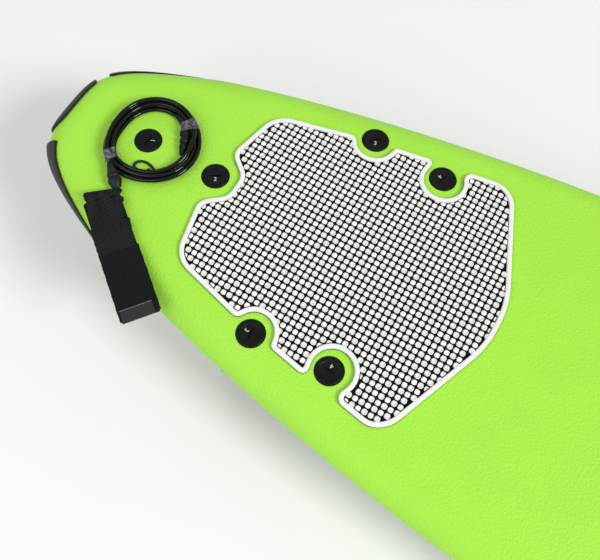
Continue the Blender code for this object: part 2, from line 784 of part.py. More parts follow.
def fin_section(depth, cant):
    """One slice of the blade, as points round it at this share of its depth."""
    front = BOLT_SPACING + FIN_FRONT
    tip = -FIN_TIP_BEHIND
    lead = front - FIN_LEAD_SWEEP * depth - (front - FIN_LEAD_SWEEP - tip) * depth**3.2
    hollow = FIN_TRAIL_HOLLOW * math.sin(math.pi * depth) * (1.0 - 0.4 * depth)
    trail = -FIN_BACK + (tip + FIN_BACK) * depth**2 + hollow
    chord = max(lead - trail, 0.010)
    thick = FIN_THICKNESS + (FIN_TIP_THICKNESS - FIN_THICKNESS) * depth
    shares = (0.0, 0.06, 0.2, 0.42, 0.7, 0.93)
    fullness = (0.0, 0.55, 0.9, 1.0, 0.72, 0.28)
    z = -FIN_FLANGE_THICKNESS / 2 - (FIN_DEPTH + FIN_FLANGE_THICKNESS / 2) * depth
    aside = cant * -z
    rising = [(lead - chord * s, aside + thick / 2 * f, z) for s, f in zip(shares, fullness)]
    falling = [(lead - chord * s, aside - thick / 2 * f, z) for s, f in zip(shares, fullness)][:0:-1]
    return rising + [(trail, aside, z)] + falling


def stadium(length_back, length_front, width, low, high, per_end=6):
    """A plate with round ends, as its lower and upper rings."""
    radius = width / 2
    ring = []
    for centre, start in ((length_front - radius, -90.0), (-length_back + radius, 90.0)):
        for i in range(per_end + 1):
            turn = math.radians(start + 180.0 * i / per_end)
            ring.append((centre + radius * math.cos(turn), radius * math.sin(turn)))
    return [[(x, y, z) for x, y in ring] for z in (low, high)]


def build_fin(name, back_bolt, toe, cant, parent, looks):
    """A blade on a flat flange, with two bosses that reach up into the sleeves and hold the inserts."""
    x, y = back_bolt
    levels = bolt_levels(x, y)
    axis = empty(name + "_axis", parent, (x, y, levels["fin_top"]))
    axis.rotation_euler = (0.0, 0.0, math.radians(toe))
    depths = [0.0, 0.2, 0.4, 0.6, 0.77, 0.9, 1.0]
    blade = lofted(name, [fin_section(depth, cant) for depth in depths])
    fin = place(name, blade, looks["fin"], axis)
    ends = FIN_FLANGE_OVERHANG, BOLT_SPACING + FIN_FLANGE_OVERHANG
    flange = lofted(name + "_flange", stadium(*ends, FIN_FLANGE_WIDTH, -FIN_FLANGE_THICKNESS, 0.0))
    combine(fin, tool_object("add_" + name + "_flange", flange, axis), "UNION")
    low = -FIN_FLANGE_THICKNESS / 2
    places = (0.0, BOLT_SPACING)
    shapes = [(at, 0.0, BOSS_RADIUS, low, BOSS_HEIGHT) for at in places]
    bosses = cylinders("add_" + name + "_bosses", shapes, 16)
    combine(fin, tool_object("add_" + name + "_bosses", bosses, axis), "UNION")
    bore = BOSS_HEIGHT - INSERT_LENGTH - 2 * GAP
    bores = [(at, 0.0, around(INSERT_RADIUS + GAP, 12), bore, BOSS_HEIGHT + 0.01) for at in places]
    combine(fin, tool_object("cut_" + name, cylinders("cut_" + name, bores), axis), "DIFFERENCE")


def build_fins(parent, looks):
    places = bolt_places()
    build_fin("fin_centre", places["1"], 0.0, 0.0, parent, looks)
    cant = math.tan(math.radians(SIDE_FIN_CANT))
    build_fin("fin_left", places["3_left"], -SIDE_FIN_TOE_IN, cant, parent, looks)
    build_fin("fin_right", places["3_right"], SIDE_FIN_TOE_IN, -cant, parent, looks)


def filleted(corners):
    """A closed anticlockwise outline through corners given as x, y and fillet radius."""
    points = []
    count = len(corners)
    for i in range(count):
        here = Vector(corners[i][:2])
        back = (Vector(corners[i - 1][:2]) - here).normalized()
        on = (Vector(corners[(i + 1) % count][:2]) - here).normalized()
        half = math.acos(max(-1.0, min(1.0, back.dot(on)))) / 2
        radius = corners[i][2]
        centre = here + (back + on).normalized() * radius / math.sin(half)
        first = here + back * radius / math.tan(half) - centre
        last = here + on * radius / math.tan(half) - centre
        sweep = first.angle_signed(last)
        steps = 2 + min(int(radius / 0.008), 3)
        for k in range(steps + 1):
            points.append(centre + Matrix.Rotation(-sweep * k / steps, 2) @ first)
    return points


def pad_half_corners():
    """Corners of the pad's left half, nose to tail, each with its fillet; the notches follow the bolts."""
    bolts = bolt_places()
    corners = []
    for label, ahead, outside, fillet in PAD_CORNERS:
        x, y = bolts[label]
        corners.append((x + ahead, y + outside, fillet))
    return corners


def inset_corners(corners, distance):
    """Moves the sides of a filleted outline inwards; outer corners get tighter and inner corners wider."""
    moved = []
    for i, (x, y, radius) in enumerate(corners):
        here = Vector((x, y))
        back = (Vector(corners[i - 1][:2]) - here).normalized()
        on = (Vector(corners[(i + 1) % len(corners)][:2]) - here).normalized()
        half = math.acos(back.dot(on)) / 2
        outer = on.cross(back) > 0.0
        inward = (back + on).normalized() * (1.0 if outer else -1.0)
        x, y = here + inward * distance / math.sin(half)
        moved.append((x, y, max(radius - distance, 0.0015) if outer else radius + distance))
    return moved


def pad_corners():
    """The corners all round the pad, anticlockwise seen from above."""
    half = pad_half_corners()
    whole = half + [(x, -y, radius) for x, y, radius in reversed(half)]
    return [(x, y + PAD_ASIDE, radius) for x, y, radius in whole]


def deck_sheet_mesh(name, loops, low, high):
    """A sheet of foam that follows the deck's crown: outer loop first, then any loop cut out of it."""
    work = bmesh.new()
    edges = []
    for loop in loops:
        corners = [work.verts.new((p.x, p.y, 0.0)) for p in loop]
        edges += [work.edges.new(pair) for pair in zip(corners, corners[1:] + corners[:1])]
    bmesh.ops.triangle_fill(work, use_beauty=True, use_dissolve=True, edges=edges)
    strips = int(max(abs(p.y) for p in loops[0]) / PAD_STRIP) + 1
    for k in range(-strips, strips + 1):
        everything = work.verts[:] + work.edges[:] + work.faces[:]
        line = (0.0, k * PAD_STRIP, 0.0)
        bmesh.ops.bisect_plane(work, geom=everything, plane_co=line, plane_no=(0.0, 1.0, 0.0))
    bmesh.ops.triangulate(work, faces=work.faces[:])
    lifted = bmesh.ops.extrude_face_region(work, geom=work.faces[:])
    upper = {item for item in lifted["geom"] if isinstance(item, bmesh.types.BMVert)}
    for corner in work.verts:
        height = high if corner in upper else low
        corner.co.z = deck_height(corner.co.x, corner.co.y) + height
    bmesh.ops.recalc_face_normals(work, faces=work.faces)
    data = bpy.data.meshes.new(name)
    work.to_mesh(data)
    work.free()
    return data


def build_pad(parent, looks):
    """Black backing sheet with a white border and a white textured field stuck on it."""
    corners = pad_corners()
    outline = filleted(corners)
    low = GAP
    backed = low + PAD_BASE_THICKNESS
    top = backed + GAP
    place("pad_base", deck_sheet_mesh("pad_base", [outline], low, backed), looks["pad_black"], parent)
    inner = filleted(inset_corners(corners, PAD_BORDER))
    border = deck_sheet_mesh("pad_border", [outline, inner], top, top + PAD_TOP_THICKNESS)
    place("pad_border", border, looks["pad_white"], parent)
    edge = filleted(inset_corners(corners, PAD_BORDER + 2 * GAP))
    field = deck_sheet_mesh("pad_field", [edge], top, top + PAD_TOP_THICKNESS)
    place("pad_field", field, looks["pad_white"], parent)


def build_plug(parent, looks):
    """A cup sunk in the deck with a steel bar across it, for the leash string."""
    x, y = plug_place()
    axis = empty("leash_plug_axis", parent, (x, y, 0.0))
    top = -GAP
    inner = PLUG_RADIUS - PLUG_WALL
    under = top - PLUG_FLANGE_THICKNESS
    profile = [
        (0.0, -PLUG_DEPTH + PLUG_FLOOR),
        (inner, -PLUG_DEPTH + PLUG_FLOOR),
        (inner, top),
        (PLUG_FLANGE_RADIUS, top),
        (PLUG_FLANGE_RADIUS, under),
        (PLUG_RADIUS, under),
        (PLUG_RADIUS, -PLUG_DEPTH),
        (0.0, -PLUG_DEPTH),
    ]
    cup = place("leash_plug_cup", turned("leash_plug_cup", profile, 20), looks["bolt"], axis)
    side_ways = Matrix.Rotation(math.radians(90.0), 4, "X")
    reach = PLUG_RADIUS
    holes = cylinders("cut_bar_holes", [(0.0, 0.0, PLUG_BAR_RADIUS + GAP, -2 * reach, 2 * reach)], 10)
    holes.transform(side_ways)
    combine(cup, tool_object("cut_bar_holes", holes, axis, (0.0, 0.0, -PLUG_BAR_BELOW_DECK)), "DIFFERENCE")
    end = reach - GAP
    profile = [(0.0, -end), (PLUG_BAR_RADIUS, -end), (PLUG_BAR_RADIUS, end), (0.0, end)]
    bar = turned("leash_plug_bar", profile, 10)
    bar.transform(side_ways)
    place("leash_plug_bar", bar, looks["steel"], axis, (0.0, 0.0, -PLUG_BAR_BELOW_DECK))


def from_bolt_1(x_mm, y_mm, height_mm=0.0):
    return Vector((BOLT_1_X + x_mm * MM, y_mm * MM, height_mm * MM))


def coil_point(angle, radius, height):
    """A point of the coil from its angle in degrees, radius and height in metres."""
    turn = math.radians(angle)
    centre_x = BOLT_1_X + COIL_AHEAD_OF_BOLT
    return Vector((centre_x + radius * math.cos(turn), COIL_SIDEWAYS + radius * math.sin(turn), height))


def coil_wobble(angle):
    """How far the loops stray from round: three slight lobes, a dent, and a bulge round the swivel."""
    lobes = LOBE_SIZE * math.cos(math.radians(3.0 * (angle - LOBES_FROM)))
    from_dent = (angle - DENT_ANGLE + 180.0) % 360.0 - 180.0
    dent = DENT_SIZE * math.exp(-((from_dent / DENT_SPREAD) ** 2))
    if angle < SWIVEL_ANGLE + 180.0:
        return lobes - dent
    from_swivel = (angle - SWIVEL_ANGLE + 180.0) % 360.0 - 180.0
    return lobes - dent + SWIVEL_BULGE * math.exp(-((from_swivel / SWIVEL_SPREAD) ** 2))


def coil_radius_and_height(angle):
    """Layer 1 spirals out, the cord climbs half a turn at the outside, and layer 2 spirals in."""
    low = COIL_UNDER_CLEARANCE + CORD_DIAMETER / 2
    turns = (angle - COIL_START_ANGLE) / 360.0
    outside = COIL_START_RADIUS + LOOP_PITCH * TURNS_OUT
    if turns <= TURNS_OUT:
        return COIL_START_RADIUS + LOOP_PITCH * turns, low
    if turns <= TURNS_OUT + TURNS_CLIMBING:
        share = (turns - TURNS_OUT) / TURNS_CLIMBING
        return outside + CLIMB_BULGE * math.sin(math.pi * share), low + LAYER_RISE * smooth_step(share)
    return outside - LOOP_PITCH * (turns - TURNS_OUT - TURNS_CLIMBING), low + LAYER_RISE


def crossing_point(angle):
    """A point of the cord's way back over the coil, between the knots on either side of it."""
    for (a, r1, z1), (b, r2, z2) in zip(CROSSING_KNOTS_MM, CROSSING_KNOTS_MM[1:]):
        if angle <= b:
            break
    share = (angle - a) / (b - a)
    return coil_point(angle, (r1 + (r2 - r1) * share) * MM, (z1 + (z2 - z1) * share) * MM)


def cuff_swivel_axis():
    start = from_bolt_1(*CUFF_SWIVEL_START_MM)
    end = from_bolt_1(*CUFF_SWIVEL_END_MM)
    return start, (end - start).normalized(), (end - start).length


def cord_route():
    """The leash cord from the board swivel, round the coil, over its top and into the cuff swivel."""
    first = from_bolt_1(*BOARD_SWIVEL_MM[0][:3])
    second = from_bolt_1(*BOARD_SWIVEL_MM[1][:3])
    away = (first - second).normalized()
    route = [first + away * GAP, first + away * (GAP + CORD_DIAMETER)]
    step = 360.0 / LOOP_POINTS
    angle = COIL_START_ANGLE
    while angle < CROSSING_KNOTS_MM[0][0] - step / 2:
        radius, height = coil_radius_and_height(angle)
        route.append(coil_point(angle, radius + coil_wobble(angle), height))
        angle += step
    while angle < CROSSING_KNOTS_MM[-1][0]:
        route.append(crossing_point(angle))
        angle += step
    start, along, _ = cuff_swivel_axis()
    route += [start - along * (CORD_DIAMETER + GAP), start - along * GAP]
    return route


def least_gap(route, diameter):
    """The least clear distance between turns: points over two diameters apart along the cord."""
    run = [0.0]
    for a, b in zip(route, route[1:]):
        run.append(run[-1] + (b - a).length)
    closest = 1.0
    for i in range(len(route)):
        for j in range(i + 1, len(route) - 1):
            if run[j] - run[i] < 4 * diameter:
                continue
            side = route[j + 1] - route[j]
            share = (route[i] - route[j]).dot(side) / side.length_squared
            nearest = route[j] + side * min(max(share, 0.0), 1.0)
            closest = min(closest, (route[i] - nearest).length)
    return closest - diameter, run[-1]


def cord(name, route, diameter, sides_setting, look, parent):
    """A round cord along a route, its two ends closed flat."""
    data = bpy.data.curves.new(name, "CURVE")
    data.dimensions = "3D"
    data.bevel_depth = diameter / 2
    data.bevel_resolution = sides_setting
    data.use_fill_caps = True
    spline = data.splines.new("POLY")
    spline.points.add(len(route) - 1)
    for point, place_at in zip(spline.points, route):
        point.co = (*place_at, 1.0)
    return place(name, data, look, parent)


def swept(name, stations, sides, flat=1.0):
    """A round or flattened bar through stations of point and radius."""
    rings = []
    for i, (point, radius) in enumerate(stations):
        before = stations[max(i - 1, 0)][0]
        after = stations[min(i + 1, len(stations) - 1)][0]
        along = (after - before).normalized()
        aside = along.cross(Vector((0.0, 0.0, 1.0))).normalized()
        up = aside.cross(along)
        ring = []
        for k in range(sides):
            turn = math.tau * k / sides
            ring.append(point + (aside * math.cos(turn) + up * flat * math.sin(turn)) * radius)
        rings.append(ring)
    return lofted(name, rings)


def swivel_pin_mesh(name, length):
    """A pin with a round head at each end, centred on its own origin along Z."""
    half = length / 2
    neck = half - 1.6 * SWIVEL_PIN_RADIUS
    head, stem = SWIVEL_HEAD_RADIUS, SWIVEL_PIN_RADIUS
    profile = [(0.0, -half), (head, -half), (head, -neck), (stem, -neck)]
    profile += [(radius, -height) for radius, height in reversed(profile)]
    return turned(name, profile, 10)


def swivel_chamber(name, length):
    """The hollow that the pin turns in: a bore with a wider chamber at each end."""
    half = length / 2 + GAP
    neck = length / 2 - 1.6 * SWIVEL_PIN_RADIUS - GAP
    head = SWIVEL_HEAD_RADIUS + GAP
    bore = SWIVEL_PIN_RADIUS + GAP
    profile = [(0.0, -half), (head, -half), (head, -neck), (bore, -neck)]
    profile += [(radius, -height) for radius, height in reversed(profile)]
    return turned(name, profile, 12)


def build_swivel(prefix, barrel_stations, eye_stations, flat, parent, looks):
    """Barrel moulded on the cord, eye that holds the strap, and the pin that lets one turn in the other."""
    barrel_mesh = swept(prefix + "_barrel", barrel_stations, 10, flat)
    barrel = place(prefix + "_barrel", barrel_mesh, looks["moulded"], parent)
    eye_mesh = swept(prefix + "_eye", eye_stations, 10, flat)
    eye = place(prefix + "_eye", eye_mesh, looks["moulded"], parent)
    first, last = barrel_stations[-1][0], eye_stations[0][0]
    along = (last - barrel_stations[-2][0]).normalized()
    axis = empty(prefix + "_axis", parent, (first + last) / 2)
    axis.rotation_mode = "QUATERNION"
    axis.rotation_quaternion = Vector((0.0, 0.0, 1.0)).rotation_difference(along)
    length = 0.0115
    place(prefix + "_pin", swivel_pin_mesh(prefix + "_pin", length), looks["steel"], axis)
    chamber = tool_object("cut_" + prefix, swivel_chamber("cut_" + prefix, length), axis)
    combine(barrel, chamber, "DIFFERENCE")
    combine(eye, chamber, "DIFFERENCE")


def build_leash_cord(parent, looks):
    route = cord_route()
    gap, length = least_gap(route, CORD_DIAMETER)
    print(f"leash cord {length:.3f} m, least gap to itself {gap * 1000:.2f} mm")
    cord("leash_cord", route, CORD_DIAMETER, 1, looks["cord"], parent)

    barrel = [(from_bolt_1(x, y, z), radius * MM) for x, y, z, radius in BOARD_SWIVEL_MM]
    eye = [(from_bolt_1(x, y, z), radius * MM) for x, y, z, radius in BOARD_EYE_MM]
    build_swivel("board_swivel", barrel, eye, 1.0, parent, looks)

    start, along, length = cuff_swivel_axis()
    split = length * 0.56
    barrel_shape = [(0.0, 0.0036), (0.2, 0.0048), (0.5, 0.0062), (0.8, 0.0076), (1.0, 0.0074)]
    eye_shape = [(0.0, 0.0078), (0.25, 0.0090), (0.6, 0.0078), (1.0, 0.0058)]
    barrel = [(start + along * split * share, radius) for share, radius in barrel_shape]
    rest = length - split - 2 * GAP
    eye = [(start + along * (split + 2 * GAP + rest * share), radius) for share, radius in eye_shape]
    build_swivel("cuff_swivel", barrel, eye, 0.72, parent, looks)


def strap_mesh(name):
    """Rail saver: webbing standing on its edge inside the coil, from the swivel's eye to the string."""
    steps = 6
    rings = []
    low, high = GAP, GAP + STRAP_HEIGHT
    for i in range(steps + 1):
        angle = STRAP_ANGLES[0] + (STRAP_ANGLES[1] - STRAP_ANGLES[0]) * i / steps
        inner, outer = STRAP_RADIUS - STRAP_THICKNESS / 2, STRAP_RADIUS + STRAP_THICKNESS / 2
        section = [(inner, low), (outer, low), (outer, high), (inner, high)]
        rings.append([coil_point(angle, radius, height) for radius, height in section])
    return lofted(name, rings)


def build_string(parent, looks):
    place("rail_saver_strap", strap_mesh("rail_saver_strap"), looks["webbing"], parent)
    height = GAP + STRING_DIAMETER / 2
    route = [from_bolt_1(x, y) + Vector((0.0, 0.0, height)) for x, y in STRING_POINTS_MM]
    cord("leash_string", route, STRING_DIAMETER, 2, looks["string"], parent)
    end = (route[-1] - route[-2]).normalized()
    knot_radius = 0.9 * STRING_DIAMETER
    centre = route[-1] + end * (knot_radius + GAP)
    centre.z = GAP + knot_radius
    profile = [(0.0, -1.0), (0.62, -0.78), (1.0, 0.0), (0.62, 0.78), (0.0, 1.0)]
    knot = turned("string_knot", [(r * knot_radius, z * knot_radius) for r, z in profile], 10)
    place("string_knot", knot, looks["string"], parent, centre)


def lay_height(y):
    """Where a stiff strap lies: on the deck's crown, then straight on past the edge of the deck."""
    reach = abs(y)
    if reach < CUFF_DECK_TO_Y:
        return -DECK_CROWN * reach**2
    return -DECK_CROWN * CUFF_DECK_TO_Y**2 - 2 * DECK_CROWN * CUFF_DECK_TO_Y * (reach - CUFF_DECK_TO_Y)


def cuff_point(along, across, height):
    turn = math.radians(CUFF_HEADING)
    start = from_bolt_1(*CUFF_NEAR_END_MM)
    x = start.x + along * math.cos(turn) - across * math.sin(turn)
    y = start.y + along * math.sin(turn) + across * math.cos(turn)
    return Vector((x, y, lay_height(y) + height))


def cuff_layer(name, ends, heights, sides, edge, skew=0.0, shift=0.0):
    """A flat layer of the cuff, following how it lies; the near end can be skewed and shifted sideways."""
    (start, end), (low, high), (right, left) = ends, heights, sides
    middle = (right + left) / 2
    steps = max(1, round((end - start) / CUFF_STEP))
    rings = []
    for i in range(steps + 1):
        share = i / steps
        lower = [(middle, low), (left - edge, low), (left, low + edge)]
        upper = [(left, high - edge), (left - edge, high), (middle, high)]
        other = [(right + edge, high), (right, high - edge), (right, low + edge), (right + edge, low)]
        ring = []
        for across, height in lower + upper + other:
            along = start + (end - start) * share + skew * across * (1.0 - share)
            ring.append(cuff_point(along, across + shift * (1.0 - share), height))
        rings.append(ring)
    return lofted(name, rings)


def build_cuff(parent, looks):
    """Padded backing, near-end webbing, and a closing flap of ribbed and smooth strap with a pull tab."""
    sides = (CUFF_RIGHT, CUFF_LEFT)
    low = GAP + CUFF_PAD_THICKNESS
    pad_sides = (CUFF_RIGHT + 0.0015, CUFF_LEFT - 0.0015)
    pad = cuff_layer("cuff_pad", (0.006, CUFF_LENGTH - 0.001), (GAP, low), pad_sides, 0.0025)
    place("cuff_pad", pad, looks["neoprene"], parent)
    low += GAP
    webbing_sides = (WEBBING_MIDDLE - WEBBING_HALF_WIDTH, WEBBING_MIDDLE + WEBBING_HALF_WIDTH)
    heights = (low, low + WEBBING_THICKNESS)
    ends = (WEBBING_FROM, WEBBING_TO)
    bend = {"skew": WEBBING_SKEW, "shift": WEBBING_SHIFT}
    webbing = cuff_layer("cuff_webbing", ends, heights, webbing_sides, 0.0006, **bend)
    place("cuff_webbing", webbing, looks["webbing"], parent)

    top = low + FLAP_THICKNESS
    fold = [cuff_point(WEBBING_TO + GAP, across, top) for across in (CUFF_LEFT, 0.0, CUFF_RIGHT)]
    hinge = empty("cuff_flap_axis", parent, fold[1])
    hinge.rotation_mode = "QUATERNION"
    hinge.rotation_quaternion = Vector((0.0, 0.0, 1.0)).rotation_difference(fold[2] - fold[0])
    back = hinge.matrix_basis.inverted()
    tab_heights = (top + GAP, top + GAP + TAB_THICKNESS)
    layers = [
        ("cuff_flap_ribbed", (WEBBING_TO + 2 * GAP, RIBBED_TO), (low, top), sides, "webbing"),
        ("cuff_flap", (RIBBED_TO + GAP, CUFF_LENGTH), (low, top), sides, "hook_and_loop"),
        ("cuff_tab", (TAB_FROM, TAB_TO), tab_heights, (TAB_RIGHT, TAB_LEFT), "tab"),
    ]
    for name, ends, heights, edges, look in layers:
        layer = cuff_layer(name, ends, heights, edges, 0.0005)
        layer.transform(back)
        place(name, layer, looks[look], hinge)


def tape_mesh(name, middle, half, inner, outer, low, high):
    """A band of tape round the whole bundle, open at both ends, with chamfered corners."""
    thick = TAPE_THICKNESS / MM
    cut = 3.0
    loops = []
    for grow in (0.0, thick):
        a, b, c, d = inner - grow, outer + grow, low - grow, high + grow
        under = [(a, c + cut), (a + cut, c), (b - cut, c), (b, c + cut)]
        over = [(b, d - cut), (b - cut, d), (a + cut, d), (a, d - cut)]
        loops.append(under + over)
    angles = (middle - half, middle, middle + half)
    rings = []
    for loop, order in ((loops[1], angles), (loops[0], angles[::-1])):
        for angle in order:
            rings.append([coil_point(angle, r * MM, z * MM) for r, z in loop])
    points = [point for ring in rings for point in ring]
    starts = [8 * k for k in range(len(rings))]
    return mesh(name, points, loft_faces(starts + starts[:1], 8))


def build_tapes(parent, looks):
    for name, sizes in TAPES_MM.items():
        place(name, tape_mesh(name, *sizes), looks["tape"], parent)


def stand_on_floor(board):
    """Tips the board until its side fins and its belly touch the floor, its foot at the origin."""
    bpy.context.view_layer.update()
    fin = bpy.data.objects["fin_left"]
    tips = [fin.matrix_world @ corner.co for corner in fin.data.vertices]
    belly = [corner.co for corner in bpy.data.objects["bottom_skin"].data.vertices]
    low, high = 0.0, math.radians(20.0)
    for _ in range(50):
        pitch = (low + high) / 2
        tip_low = min(-p.x * math.sin(pitch) + p.z * math.cos(pitch) for p in tips)
        belly_low = min(-p.x * math.sin(pitch) + p.z * math.cos(pitch) for p in belly)
        if tip_low < belly_low:
            low = pitch
        else:
            high = pitch
    rigid = ("deck_skin", "tail_bumper")
    turn = Matrix.Rotation(pitch, 4, "Y")
    spread = [(turn @ corner.co).x for name in rigid for corner in bpy.data.objects[name].data.vertices]
    board.rotation_euler = (0.0, pitch, 0.0)
    board.location = (-(min(spread) + max(spread)) / 2, 0.0, -tip_low)
    print(f"pitch {math.degrees(pitch):.4f} deg, board axes at {tuple(round(v, 6) for v in board.location)}")


def looks():
    return {
        "deck": material("deck_foam", (0.33, 0.78, 0.05), 0.55),
        "slick": material("bottom_slick", (0.86, 0.88, 0.86), 0.3),
        "foam": material("core_foam", (0.92, 0.92, 0.90), 0.9),
        "wood": material("stringer_wood", (0.62, 0.45, 0.26), 0.7),
        "rubber": material("bumper_rubber", (0.03, 0.03, 0.035), 0.7),
        "bolt": material("bolt_plastic", (0.02, 0.02, 0.022), 0.4),
        "washer": material("washer_rubber", (0.05, 0.05, 0.05), 0.8),
        "sleeve": material("sleeve_plastic", (0.75, 0.75, 0.72), 0.5),
        "brass": material("insert_brass", (0.78, 0.60, 0.25), 0.35, 1.0),
        "fin": material("fin_plastic", (0.03, 0.03, 0.03), 0.35),
        "pad_black": material("pad_base_foam", (0.02, 0.02, 0.02), 0.9),
        "pad_white": material("pad_top_foam", (0.85, 0.85, 0.85), 0.8),
        "steel": material("stainless_steel", (0.6, 0.6, 0.6), 0.3, 1.0),
        "cord": material("cord_urethane", (0.01, 0.01, 0.012), 0.15),
        "moulded": material("swivel_plastic", (0.03, 0.03, 0.033), 0.5),
        "webbing": material("webbing_fabric", (0.02, 0.02, 0.022), 0.9),
        "string": material("string_nylon", (0.015, 0.015, 0.015), 0.6),
        "neoprene": material("cuff_neoprene", (0.02, 0.02, 0.022), 0.95),
        "hook_and_loop": material("flap_fabric", (0.025, 0.025, 0.028), 0.95),
        "tab": material("tab_plastic", (0.10, 0.10, 0.11), 0.5),
        "tape": material("clear_tape", (0.75, 0.77, 0.78), 0.2),
    }


def main():
    for old in list(bpy.data.objects):
        bpy.data.objects.remove(old, do_unlink=True)
    board = empty("board_axes")
    made = looks()
    build_skins(board, made)
    build_core(board, made)
    build_bumpers(board, made)
    for label, (x, y) in bolt_places().items():
        build_bolt(label, x, y, board, made)
    build_fins(board, made)
    build_pad(board, made)
    build_plug(board, made)
    build_leash_cord(board, made)
    build_string(board, made)
    build_cuff(board, made)
    build_tapes(board, made)
    stand_on_floor(board)


main()
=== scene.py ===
"""Looks of a foam surfboard with a coiled ankle leash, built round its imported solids.

Lengths are in metres. The board's own axes have x from the tail end to the nose, y to the left rail
and z up from the deck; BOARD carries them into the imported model's frame.
"""

import json
import math

import bmesh
import bpy
import numpy as np
from mathutils import Matrix, Vector, noise


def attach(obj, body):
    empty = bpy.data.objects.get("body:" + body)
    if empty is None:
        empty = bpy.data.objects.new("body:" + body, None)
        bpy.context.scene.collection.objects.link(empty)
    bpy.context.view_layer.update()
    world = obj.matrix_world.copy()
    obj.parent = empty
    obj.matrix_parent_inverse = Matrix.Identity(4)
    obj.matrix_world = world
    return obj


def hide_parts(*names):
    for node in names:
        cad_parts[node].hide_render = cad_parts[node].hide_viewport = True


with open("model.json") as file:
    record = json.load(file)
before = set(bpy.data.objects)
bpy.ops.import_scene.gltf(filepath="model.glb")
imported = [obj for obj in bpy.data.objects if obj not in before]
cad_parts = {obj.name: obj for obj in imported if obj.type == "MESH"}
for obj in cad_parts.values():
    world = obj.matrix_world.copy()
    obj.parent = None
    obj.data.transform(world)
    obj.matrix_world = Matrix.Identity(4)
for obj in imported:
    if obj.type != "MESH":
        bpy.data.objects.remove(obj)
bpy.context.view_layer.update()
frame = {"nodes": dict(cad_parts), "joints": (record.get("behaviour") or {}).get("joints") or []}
MM = 0.001

# Angles in degrees between neighbouring faces from which their edge is sharp
SHARP_ANGLE = 35.0
SOFT_SHARP_ANGLE = 50.0

# Outline and sections of the board, as in the part's source
BOARD_LENGTH = 2.134
HALF_WIDTH = 0.2795
WIDE_POINT_X = 1.078
SHOULDER_X = 0.1425
SHOULDER_HALF_WIDTH = 0.1425
SHOULDER_SLOPE = 0.43
TAIL_BLUNTNESS = 0.062
SHOULDER_REACH_BACK = 0.153
SHOULDER_REACH_FORWARD = 0.061
WIDE_REACH_BACK = 0.504
WIDE_REACH_FORWARD = 0.560
NOSE_BLUNTNESS = 0.185
TAIL_THICKNESS = 0.062
MID_THICKNESS = 0.083
NOSE_THICKNESS = 0.042
FLAT_BOTTOM_TO_X = 0.63
NOSE_RISE_FROM_X = 0.95
NOSE_LIFT = 0.085
NOSE_CURVE_POWER = 2.3
DECK_CROWN = 0.2
RAIL_ROLL = 0.040
TAIL_APEX_SHARE = 0.47
MID_APEX_SHARE = 0.62
APEX_SETTLES_X = 0.70
DECK_SKIN = 0.006
SKIN_JOINT_ANGLE = -70.0
SKIN_JOINT_GAP_ANGLE = 0.6
DECK_ANGLES = (90, 82, 74, 65, 56, 47, 38, 28, 18, 9, 0, -12, -25, -38, -51)
BOTTOM_SKIN = 0.003
BOTTOM_ANGLES = (-90, -85, -80, -75)
RUN_STEPS = (28, 18, 26)
RUN_HALVINGS = 40
DECK_COLUMNS = 26
BOTTOM_COLUMNS = 12
DRILL_TO = 0.02
DRILL_SIDES = 64

# Bumpers
BUMPER_GAP = 0.0012
BUMPER_PROUD = 0.0026
BUMPER_EDGE = 0.0006
TAIL_BUMPER_LEFT = 0.0523
TAIL_BUMPER_RIGHT = 0.0410
TAIL_BUMPER_TAPERS = (0.24, 0.14)
RAIL_BUMPER_FROM_Y = {"left": 0.069, "right": 0.0640}
RAIL_BUMPER_TO_X = 0.143
RAIL_BUMPER_TAPER = 0.10
TAIL_BUMPER_TOP_ANGLE = 51.0
RAIL_BUMPER_TOP_ANGLE = {"left": 47.0, "right": 57.0}
RAIL_BUMPER_TIP_ANGLE = 11.0
RAIL_BUMPER_TIP_THINNING = 0.65
BUMPER_LOW_ANGLE = -38.0
BUMPER_STATIONS = (
    0.0, 0.015, 0.04, 0.09, 0.16, 0.25, 0.35, 0.45, 0.55, 0.65, 0.75, 0.84, 0.91, 0.955, 0.98, 1.0,
)
BUMPER_INNER_STEP = 3
# Steps along the top edge of a bumper that get the darker rubber as painted shade
BUMPER_PAINTED_SHADE_STEPS = 3
BUMPER_SQUARENESS = 6
BUMPER_SHARP_ANGLE = 60.0
BUMPER_RIB_PITCH = 0.0021
BUMPER_RIB_HEIGHT = 0.00016
BUMPER_END_SHARE = 0.03
BUMPER_END_STEPS = 8
BUMPER_END_WIDTH = 0.35
TAIL_BUMPER_STEPS = 200
RAIL_BUMPER_STEPS = 260

# Bolts
BOLT_1_X = 0.1305
BOLT_SPACING = 0.103
SIDE_BOLT_BACK = 0.252
SIDE_BOLT_Y = 0.1576
SIDE_FIN_TOE_IN = 3.9
HEAD_RADIUS = 0.018
HEAD_THICKNESS = 0.0045
HEAD_PROUD = 0.0015
HEAD_BEVEL = 0.0012
HEAD_SIDE_CLEARANCE = 0.0004
HEAD_EDGE = 0.0003
BOLT_SIDES = 72
DISH_RADIUS = 0.0115
DISH_DEPTH = 0.0007
SLOT_LENGTH = 0.0150
SLOT_WIDTH = 0.0022
SLOT_DEPTH = 0.0020
SLOT_TURNS = {
    "1": 85.0, "2": 31.0, "3_right": 96.0, "3_left": 40.0, "4_right": -2.5, "4_left": 75.0,
}
MARK_PLACES_MM = {
    "1": (5.6, 2.6), "2": (2.5, -4.6), "3_right": (-6.3, 0.8),
    "3_left": (1.9, -4.4), "4_right": (0.0, 6.3), "4_left": (-5.1, 1.4),
}
MARK_HEIGHT = 0.0082
MARK_HALF_THICKNESS = 0.00004
MARK_LIFT = 0.00006
SHANK_RADIUS = 0.004
SHANK_END_ABOVE_BOTTOM = 0.0034
THREAD_PITCH = 0.00125
THREAD_DEPTH = 0.0005
THREAD_LENGTH = 0.018

